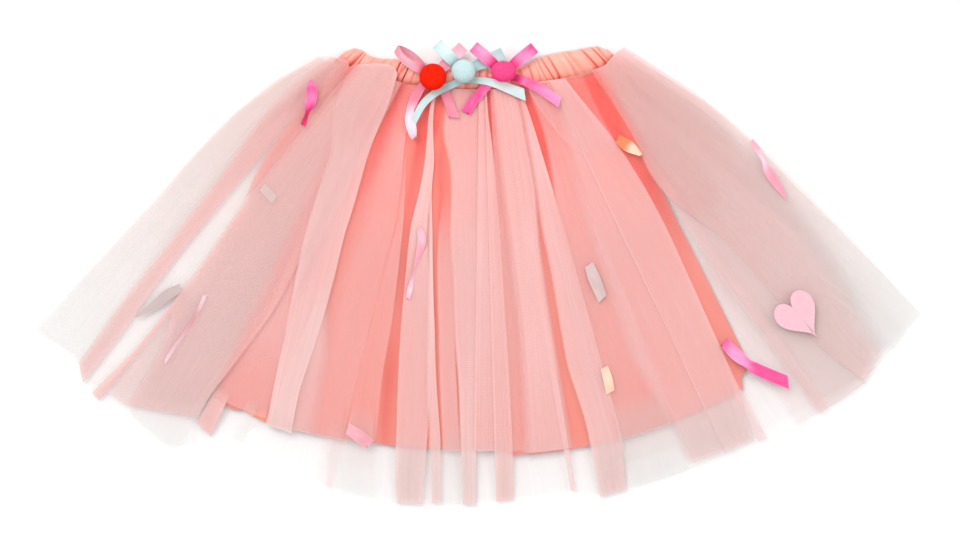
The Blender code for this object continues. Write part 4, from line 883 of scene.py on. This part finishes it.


# Each ribbon's two shades, its plain colour and a lighter one for its threads, edge and painted
# gloss streaks, and its painted shade and highlight where its satin turns from the lamp and to it
RIBBON_PAINTS = {name: ribbon_paint(name + "_satin", *colours) for name, *colours in (
    ("pink_ribbon", (0.84, 0.28, 0.37, 1), (0.93, 0.46, 0.56, 1),
     (0.76, 0.19, 0.28, 1), (0.93, 0.66, 0.76, 1)),
    ("aqua_ribbon", (0.36, 0.53, 0.54, 1), (0.50, 0.68, 0.68, 1),
     (0.26, 0.48, 0.52, 1), (0.72, 0.82, 0.81, 1)),
    ("magenta_ribbon", (0.78, 0.03, 0.20, 1), (0.90, 0.12, 0.36, 1),
     (0.70, 0.015, 0.13, 1), (0.92, 0.38, 0.64, 1)),
    ("grey_ribbon", (0.54, 0.39, 0.375, 1), (0.64, 0.48, 0.465, 1),
     (0.46, 0.37, 0.37, 1), (0.78, 0.66, 0.64, 1)),
    ("orange_ribbon", (0.90, 0.16, 0.05, 1), (0.96, 0.25, 0.10, 1),
     (0.84, 0.13, 0.04, 1), (0.95, 0.64, 0.48, 1)),
)}
# A loose ribbon: its node, its finish, how far each end is cut aslant and its bends, each with
# its place across and along, how far it lifts, its roll, its width and its shine
Scrap = namedtuple("Scrap", "node finish slants bends")
TUCKED = (
    Scrap("ribbon_pink_middle", "pink_ribbon", (2, -3), (
        (-49, 34.4, 0, 0, 4, -0.1), (-46.2, 24, 0.6, 0, 6.6, 0.1), (-49.4, 10, 0.8, 30, 5, -0.2),
        (-53, -4, 0.6, 55, 4.4, 0.5), (-56, -16, 0.3, 20, 4.4, 0.7), (-57.6, -24, 0, 0, 3, 0))),
    Scrap("ribbon_aqua_middle", "grey_ribbon", (2, 3), (
        (86.4, 5.2, 0, 0, 7, 0), (91, -7, 0.8, 0, 9.5, 0), (97, -21.8, 0, 0, 8, 0))),
    Scrap("ribbon_aqua_left", "grey_ribbon", (3, 0), (
        (-237, -13, 0, 0, 5.4, -0.3), (-249.6, -20, 0.5, 0, 8.4, -0.6),
        (-260, -28.4, 0.5, 10, 6.8, -0.4), (-274, -37.6, 0, 0, 1.6, 0))),
    Scrap("ribbon_pink_left", "pink_ribbon", (3, -3), (
        (-219, -19, 0, 0, 3, 0.9), (-222.4, -28, 0.5, 30, 3.4, 0.7),
        (-228.6, -40, 0.5, 50, 3.6, -0.4), (-236, -51, 0.5, 40, 3.4, 0.3),
        (-244, -62, 0.4, 30, 3.4, 0.6), (-252, -74.6, 0, 0, 2.6, 0.9))),
    Scrap("ribbon_pink_hem", "pink_ribbon", (3, -2), (
        (-106.4, -125, 0, 0, 8, 0.1), (-96, -132.4, 0.6, 0, 10, -0.2),
        (-87, -139.6, 0, 0, 9, -0.5))),
    # Its shine stays high all along, which lightens the orange finish to this ribbon's own cream
    # colour.
    Scrap("ribbon_cream", "orange_ribbon", (1, 2), (
        (98.8, -77, 0, 0, 6, 0.8), (101.6, -86.4, 0.4, 0, 7.5, 0.9),
        (103.6, -96.4, 0, 0, 7, 0.8))),
    Scrap("ribbon_pale", "grey_ribbon", (1, 2), (
        (-173.8, 66.6, 0, 0, 6, 0.2), (-169.2, 61.6, 0.4, 0, 7.5, 0.2),
        (-164.6, 56.6, 0, 0, 7, 0.2))),
)
RIBBON_CLEAR = 0.5
RIBBON_REACH = 6.5
RIBBON_STACK = 1.4
BEND_STEPS = 8


def fan_place(x, y):
    """Angles and reaches of places in millimetres."""
    return np.degrees(np.arctan2(x, APEX_Y - y)), np.hypot(x, APEX_Y - y)


def lay_ribbon(scrap):
    """Lay a loose ribbon over the heap, which then stands higher there."""
    run = smooth_run(scrap.bends, BEND_STEPS)
    angle, reach = fan_place(run[:, 0], run[:, 1])
    bed = heap.bed(across=2, along=1)
    run[:, 2] += heap.at(bed, angle, reach) + RIBBON_CLEAR
    mesh = bmesh.new()
    add_cloth(mesh, ribbon_spots(run, slants=scrap.slants))
    worn(scrap.node + "_satin", mesh, RIBBON_PAINTS[scrap.finish], scrap.node)
    turn = np.radians(heap.angle)
    x, y = heap.reach * np.sin(turn), APEX_Y - heap.reach * np.cos(turn)
    away = np.min([np.hypot(x - px, y - py) for px, py in run[::2, :2]], axis=0)
    heap.lay(away < RIBBON_REACH, bed, RIBBON_STACK)


for scrap in TUCKED:
    lay_ribbon(scrap)

# ---- Outer net, front half ----
# The front of the outermost net, seen first: pale nylon with broad light folds of its own,
# gathered into the same seam as the back half and cut by hand at the hem.
OUTER_FOLDS = (
    Fold(476, 468, 0.1, 0.2, 0, (0, 0, 10, 12),
         (134, -52, 164, -53.3, 192, -54.2, 240, -54, 264, -53.2, 340, -51, 460, -48.6),
         (134, -46, 240, -47.6, 340, -44.6, 460, -42.5)),
    Fold(475, 481, 0.09, 0.4, 0.1, (8, 3, 14, 2), (134, -42, 240, -41, 340, -39.6, 475, -37),
         (240, -31, 340, -29.6, 450, -30.1)),
    Fold(449, 449, 0.1, 0, 0, (0.5, 0.5, 0.5, 0.5), (416, -26.4, 448, -26.1),
         (416, -25, 448, -24.9), 412),
    Fold(458, 459, 0.07, 0, 0, (0.5, 0.5, 0.5, 0.5), (384, -15.1, 460, -14.7),
         (384, -12.6, 461, -10.6), 385),
    Fold(456, 456, 0.06, 0, 0, (0.5, 0.5, 0.5, 0.5), (384, -4, 458, -3.8),
         (384, -1.8, 457, -1.6), 385),
    Fold(459, 460, 0.14, 0, 0, (0.5, 0.5, 0.5, 0.5), (384, 15.6, 460, 15),
         (384, 21.4, 460, 21.3), 385),
    Fold(472, 466, 0.08, 0.4, 0.05, (8, 6, 16, 20), (134, 39, 240, 36.8, 320, 36.2, 467, 36.4),
         (134, 50, 240, 51.6, 340, 50.6, 465, 48)),
    Fold(266, 262, 0.12, 0.4, 0.3, (8, 8, 0, 0), (134, 47, 300, 49),
         (134, 50.3, 160, 51.9, 208, 53.3, 240, 53.1, 280, 52.7)),
    Fold(467, 465, 0.12, 0.8, 0, (12, 10, 0, 0), (134, 43, 240, 45.5, 340, 46.5, 462, 43.5),
         (134, 50.3, 160, 51.9, 208, 53.3, 240, 53.1, 280, 52.7, 340, 51.3, 465, 49.3)),
)

outer_mesh = bmesh.new()
lay_base(outer_mesh, heap.bed(across=5, along=2), OUTER_SIDES, OUTER_HEM, columns=260,
         cover=0.08, on_lining=0.018, fullness=3.6)
for fold in OUTER_FOLDS:
    lay_fold(outer_mesh, fold)
bmesh.ops.remove_doubles(outer_mesh, verts=outer_mesh.verts, dist=1e-6)
outer_front = worn("outer_net_front", outer_mesh, pale_net, "tulle_outer_front")

# ---- Bows ----
# Three bows of satin ribbon sewn to the middle of the band. Each is a pair of flat loops over
# one length of ribbon whose two ends hang down as tails.
# A loop: the place of its tip, the height of its middle, how far its plies part and its roll; a
# bow: the place of its knot, how far its tails' ends are cut aslant, and its loops
Loop = namedtuple("Loop", "tip_x tip_y tip_z middle_z part roll")
Bow = namedtuple("Bow", "name finish x y slants left right")
BOWS = (
    Bow("bow_pink", "pink_ribbon", -37.2, 153.2, (3.5, -3.5),
        Loop(-66.6, 175.4, 16.6, 17, 3.4, 52), Loop(-13.4, 177.6, 12.3, 12.3, 0.3, 0)),
    Bow("bow_aqua", "aqua_ribbon", -13, 157.4, (-4, 5),
        Loop(-34.4, 179.2, 17.4, 17.8, 1.2, 0), Loop(18.4, 172.6, 12.3, 12.3, 0.3, 0)),
    Bow("bow_magenta", "magenta_ribbon", 18.6, 156.6, (3.5, 3.5),
        Loop(-5.4, 177, 17.4, 17.8, 1.2, 0), Loop(43.4, 176.6, 14.6, 14.6, 1.4, 0)),
)
# A ply of a loop: share of the way out, how far it opens, lifts and rolls, its width and shine
LOOP_SHAPE = ((0, 0, 0, 0, 5, -0.8), (0.2, 0.1, 0.15, 0, 6.6, -0.7),
              (0.36, 0.6, 0.8, 0.4, 8.6, -0.2), (0.55, 1, 1, 1, 9.5, 0.5),
              (0.75, 1, 1, 1, 9.5, 0.4), (0.91, 0.75, 1, 1, 9.5, 0.1), (1, 0, 1, 1, 9.5, -0.2))
LOOP_STEPS = 4
KNOT_Z = 12.6
PLY_GAP = 1.45


def loop_run(bow, loop):
    """Places of a loop from the knot along its lower ply to the tip and back along the upper."""
    knot = np.array((bow.x, bow.y))
    run = np.array((loop.tip_x, loop.tip_y)) - knot
    away = run / np.linalg.norm(run)
    shapes = smooth_run(LOOP_SHAPE, LOOP_STEPS)
    plies = []
    for upper in (-1.0, 1.0):
        part, opened, lift, roll, wide, shine = shapes.T
        half = upper * (PLY_GAP / 2 + loop.part * opened) * (1.0 - part ** 8)
        turn = np.radians(loop.roll * roll)
        side = np.array((away[1], -away[0]))
        xy = knot + run * part[:, None] - side * (half * np.sin(turn))[:, None]
        goal = loop.middle_z + (loop.tip_z - loop.middle_z) * part
        base = KNOT_Z + PLY_GAP / 2
        z = base + (goal - base) * lift + half * np.cos(turn)
        plies.append(np.column_stack((xy, z, loop.roll * roll, wide, shine)))
    return plies


def ribbon_piece(name, node, finish, runs, slants=(0.0, 0.0)):
    """Ribbon or ribbons of one node."""
    mesh = bmesh.new()
    for run in runs:
        add_cloth(mesh, ribbon_spots(run, slants=slants))
    bmesh.ops.remove_doubles(mesh, verts=mesh.verts, dist=1e-5)
    worn(name, mesh, RIBBON_PAINTS[finish], node)


# The tails: places, how far each lifts off what it lies on, the ribbon's roll, width and shine
TAILS = {
    "bow_pink": (
        (-52.4, 103.4, 2, 20, 3.6, 0.2), (-53.8, 110, 2, 10, 7.2, 0.7),
        (-55.4, 118.4, 1.6, 0, 8.2, 0.9), (-55.6, 126, 0.8, 25, 6.8, 0.6),
        (-53.4, 132.6, 0, 0, 7, -0.6), (-50.8, 139, 0, 0, 8, -1), (-46.2, 146, 0, 0, 6.6, -1),
        (-41.8, 149, 0, 0, 5.6, -1), (-37.2, 150, 0, 0, 5, -1), (-31.4, 147.6, 0, 0, 6, -1),
        (-27, 139, 0, 0, 7.6, -1), (-19.6, 119.6, 0, 0, 8, -0.8)),
    "bow_aqua": (
        (-51.6, 120.4, 0, 0, 5.4, 0.2), (-45.6, 131.4, 0, 0, 5.8, 0.2),
        (-37.6, 139.2, 0, 0, 5.8, 0.4), (-26, 145.6, 0, 0, 6, -0.1), (-12.8, 150.4, 0, 0, 5, -0.3),
        (-1, 150.6, 0, 0, 5.4, 0.2), (9, 149, 0, 0, 6.2, 0.6), (20, 145.4, 0, 0, 7.4, 0.9),
        (33.4, 140.2, 0, 0, 8.8, 0.5)),
    "bow_magenta": (
        (-12.2, 124, 0, 0, 8, 0), (-5.6, 134, 0, 0, 7.6, 0), (3.4, 144.2, 0, 0, 7.4, 0),
        (11, 151.2, 0, 0, 6, -0.3), (19, 153.6, 0, 0, 5, -0.5), (26, 153, 0, 0, 5.6, -0.5),
        (33, 151, 1.4, 0, 7, -0.2), (46.4, 144.2, 0.6, 0, 7.8, 0.3), (62, 134, 0, 0, 8.2, 0.7)),
}
# Ribbons whose middles are nearer than this lie on each other, this far apart
TAILS_MEET = 8.5
TAIL_GAP = 0.9
TAIL_CLEAR = 0.6
# A tail stays on the band until this near the seam, and below it no lower than this
BAND_MARGIN = 4.0
TAIL_LOWEST = 9.0
EASE_ROUNDS = 40
laid = np.empty((0, 3))
for bow_name in ("bow_pink", "bow_magenta", "bow_aqua"):
    run = smooth_run(TAILS[bow_name], BEND_STEPS)
    angle, reach = fan_place(run[:, 0], run[:, 1])
    over_net = heap.at(heap.bed(across=2, along=1), angle, reach) + TAIL_CLEAR
    lift = run[:, 2].copy()
    run[:, 2] = np.where(reach > look_up(SEAM, angle) - BAND_MARGIN,
                         np.maximum(over_net, TAIL_LOWEST), BAND_CREST_Z + TAIL_CLEAR)
    for index, place in enumerate(run):
        close = laid[np.hypot(*(laid[:, :2] - place[:2]).T) < TAILS_MEET]
        if len(close):
            run[index, 2] = max(place[2], close[:, 2].max() + TAIL_GAP)
    for easing in range(EASE_ROUNDS):
        eased = run[:, 2].copy()
        eased[1:-1] = (eased[:-2] + eased[2:]) / 2
        run[:, 2] = np.maximum(run[:, 2], eased)
    run[:, 2] += lift
    laid = np.vstack((laid, run[:, :3]))
    bow = {bow.name: bow for bow in BOWS}[bow_name]
    ribbon_piece(bow_name + "_tail_ribbon", bow_name + "_tails", bow.finish, [run], bow.slants)
for bow in BOWS:
    runs = loop_run(bow, bow.left) + loop_run(bow, bow.right)
    ribbon_piece(bow.name + "_loop_ribbon", bow.name + "_loops", bow.finish, runs)

# ---- Pompoms ----
# A pompom of acrylic yarn, wound, tied and cut, then clipped to a flattened ball. One is sewn
# on each bow's knot and hides it.
POMPOM_Z = KNOT_Z + PLY_GAP + 0.8
PILE = 0.9
POMPOM_SEED = 7
Pompom = namedtuple("Pompom", "node slot x y wide tall high colour shade")
POMPOMS = (
    Pompom("orange_pompom", "orange_fluff", -37.3, 152.6, 21.4, 21.4, 14.0,
           (0.96, 0.022, 0.003, 1), (0.70, 0.006, 0.002, 1)),
    Pompom("aqua_pompom", "aqua_fluff", -13.0, 157.1, 19.6, 18.6, 14.0,
           (0.60, 0.75, 0.75, 1), (0.42, 0.58, 0.59, 1)),
    Pompom("magenta_pompom", "magenta_fluff", 18.6, 156.9, 20.4, 16.8, 13.0,
           (0.97, 0.10, 0.30, 1), (0.74, 0.03, 0.15, 1)),
)


def fluff_paint(name, colour, shade):
    """Cut yarn ends, painted lighter at their tips and with painted shade between them."""
    paint = Paint(name, Roughness=0.95, Specular_IOR_Level=0.1)
    spots = paint.specks(900.0)
    paint.feed("Base Color", paint.mix(
        paint.within(1.1 * paint.attribute("cover") + 0.4 * spots - 0.2), shade, colour))
    paint.bump(spots, distance=0.0005, strength=0.6)
    return paint.material


for index, pompom in enumerate(POMPOMS):
    pompom_mesh = bmesh.new()
    depth = pompom_mesh.verts.layers.float.new("cover")
    bmesh.ops.create_icosphere(pompom_mesh, subdivisions=6, radius=0.5)
    # Each point sits out by a random tip height, kept as its cover, which also sets its painted
    # shade.
    tips = np.random.default_rng(POMPOM_SEED + index).random(len(pompom_mesh.verts))
    for vert, tip in zip(pompom_mesh.verts, tips):
        vert[depth] = float(tip)
        vert.co *= 1.0 - (1.0 - tip) * PILE / pompom.wide
    bmesh.ops.scale(pompom_mesh, verts=pompom_mesh.verts,
                    vec=(pompom.wide * MM, pompom.tall * MM, pompom.high * MM))
    bmesh.ops.translate(pompom_mesh, verts=pompom_mesh.verts,
                        vec=Vector((pompom.x, pompom.y, POMPOM_Z + pompom.high / 2)) * MM)
    yarn = fluff_paint(pompom.slot + "_yarn", pompom.colour, pompom.shade)
    worn(pompom.node + "_yarn", pompom_mesh, yarn, pompom.node)

# ---- Loose ribbons on the outer net ----
# More lengths of the same narrow satin ribbon, cut aslant. Each is sewn to the outer net by one
# end, so the other lifts and twists.
ON_TOP = (
    Scrap("ribbon_magenta_left", "magenta_ribbon", (1, -3), (
        (-134.8, 151, 0.5, 0, 3, 0), (-133.2, 143, 1, 0, 8.5, 0.1),
        (-134.6, 133, 1.2, 0, 8.5, 0.3), (-137.6, 124, 1, 60, 5, -0.9),
        (-141, 114, 0.3, 0, 4, -1))),
    Scrap("ribbon_orange", "orange_ribbon", (2, -1), (
        (108.6, 105, 0.4, 0, 6, 0), (116, 99.6, 1, 0, 9, 0), (121, 96.4, 0.8, 0, 8, 0.9),
        (128.6, 91, 0.4, 0, 2, 0.7))),
    Scrap("ribbon_pink_right", "pink_ribbon", (2, 2), (
        (215.6, 104, 0.6, 0, 3, 0), (220.6, 96, 1.2, 0, 5, 0.1), (225, 87.6, 1.4, 50, 5, 0.9),
        (229.6, 78.6, 1, 0, 7.6, -0.2), (236.4, 68, 0.7, 0, 6.6, -0.3),
        (243.2, 57.6, 0.4, 0, 2, -0.3))),
    Scrap("ribbon_magenta_right", "magenta_ribbon", (4, 5), (
        (193.4, -56.2, 0.6, 0, 8, 0), (203, -66.6, 1.4, 0, 9.8, 0.7),
        (212.4, -74, 1.8, 30, 8.8, 0.5), (218, -77.6, 1.6, 10, 9.2, 0),
        (228, -82.4, 1.4, 0, 9.6, 0), (243, -88.6, 0.4, 0, 9.6, 0))),
)
for scrap in ON_TOP:
    lay_ribbon(scrap)

# ---- Heart patch ----
# A small plain heart cut from pale pink felt. It is sewn to the outer net with pale thread, in
# short stitches that run round near its edge.
HEART_X, HEART_Y = 255.0, -38.0
HEART_WIDE, HEART_TALL, HEART_THICK = 35.2, 38.4, 1.4
HEART_CLEAR = 0.4
HEART_ROUND = 0.5
HEART_POINTS = 96
# The heart's curve as it is written below is this tall, with its middle this far under zero
CURVE_TALL, CURVE_LOW = 29.0, 2.5
STITCHES = 40
STITCH_LINE = 0.86
STITCH_TURN = 0.036
STITCH_START = 0.04
STITCH_LIFT = 0.15
THREAD_THICK = 0.84
heart_angle, heart_reach = fan_place(HEART_X, HEART_Y)


def heart_place(turn, size=1.0):
    """Across and out from the patch's middle, in millimetres, round the heart's curve."""
    wide = np.sin(turn) ** 3 / 2 * HEART_WIDE
    tall = 13 * np.cos(turn) - 5 * np.cos(2 * turn) - 2 * np.cos(3 * turn) - np.cos(4 * turn)
    return wide * size, -(tall + CURVE_LOW) / CURVE_TALL * HEART_TALL * size


heart_bed = heap.bed(across=8, along=3)
heart_bottom = float(heap.at(heart_bed, heart_angle, heart_reach)) + HEART_CLEAR
heart_mesh = bmesh.new()
across, out = heart_place(np.linspace(0.0, 2 * math.pi, HEART_POINTS, endpoint=False))
rim = [heart_mesh.verts.new(Vector(point)) for point in on_fan(
    heart_angle + np.degrees(across / heart_reach), heart_reach + out, heart_bottom)]
plate = heart_mesh.faces.new(rim)
raised = bmesh.ops.extrude_face_region(heart_mesh, geom=[plate])["geom"]
top_verts = [part for part in raised if isinstance(part, bmesh.types.BMVert)]
top_face = [part for part in raised if isinstance(part, bmesh.types.BMFace)]
bmesh.ops.translate(heart_mesh, verts=top_verts, vec=(0.0, 0.0, HEART_THICK * MM))
bmesh.ops.bevel(heart_mesh, geom=top_face[0].edges[:], offset=HEART_ROUND * MM, segments=3,
                profile=0.5, affect="EDGES", material=-1)
bmesh.ops.recalc_face_normals(heart_mesh, faces=heart_mesh.faces)
felt = Paint("heart_felt", Roughness=0.9, Sheen_Weight=0.3, Sheen_Roughness=0.5)
fibre = felt.specks(1300.0, detail=4.0)
felt.feed("Base Color", felt.mix(0.6 * fibre + 0.4 * felt.specks(160.0),
                                 (0.72, 0.39, 0.46, 1), (0.82, 0.52, 0.58, 1)))
felt.bump(fibre, distance=0.0004, strength=0.6)
worn("heart_felt_patch", heart_mesh, felt.material, "heart_patch", smooth=False)

thread_mesh = bmesh.new()
for turn in np.linspace(0.0, 2 * math.pi, STITCHES, endpoint=False) + STITCH_START:
    ends = []
    for shift in (-STITCH_TURN, STITCH_TURN):
        across, out = heart_place(turn + shift, STITCH_LINE)
        ends.append(Vector(on_fan(heart_angle + math.degrees(across / heart_reach),
                                  heart_reach + out, heart_bottom + HEART_THICK + STITCH_LIFT)))
    line = ends[1] - ends[0]
    stitch = bmesh.ops.create_icosphere(thread_mesh, subdivisions=2,
                                        radius=THREAD_THICK / 2 * MM)["verts"]
    bmesh.ops.scale(thread_mesh, verts=stitch,
                    vec=(max(line.length / (THREAD_THICK * MM), 0.8), 1.0, 0.7))
    bmesh.ops.rotate(thread_mesh, verts=stitch, matrix=line.to_track_quat("X", "Z").to_matrix())
    bmesh.ops.translate(thread_mesh, verts=stitch, vec=(ends[0] + ends[1]) / 2)
cotton = Paint("heart_thread", Roughness=0.7)
twist = cotton.specks(2500.0)
cotton.feed("Base Color", cotton.mix(twist, (0.95, 0.86, 0.90, 1), (0.80, 0.45, 0.60, 1)))
cotton.bump(twist, distance=0.0002, strength=0.5)
threads = finished("heart_stitches", thread_mesh, cotton.material)
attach(threads, "root")
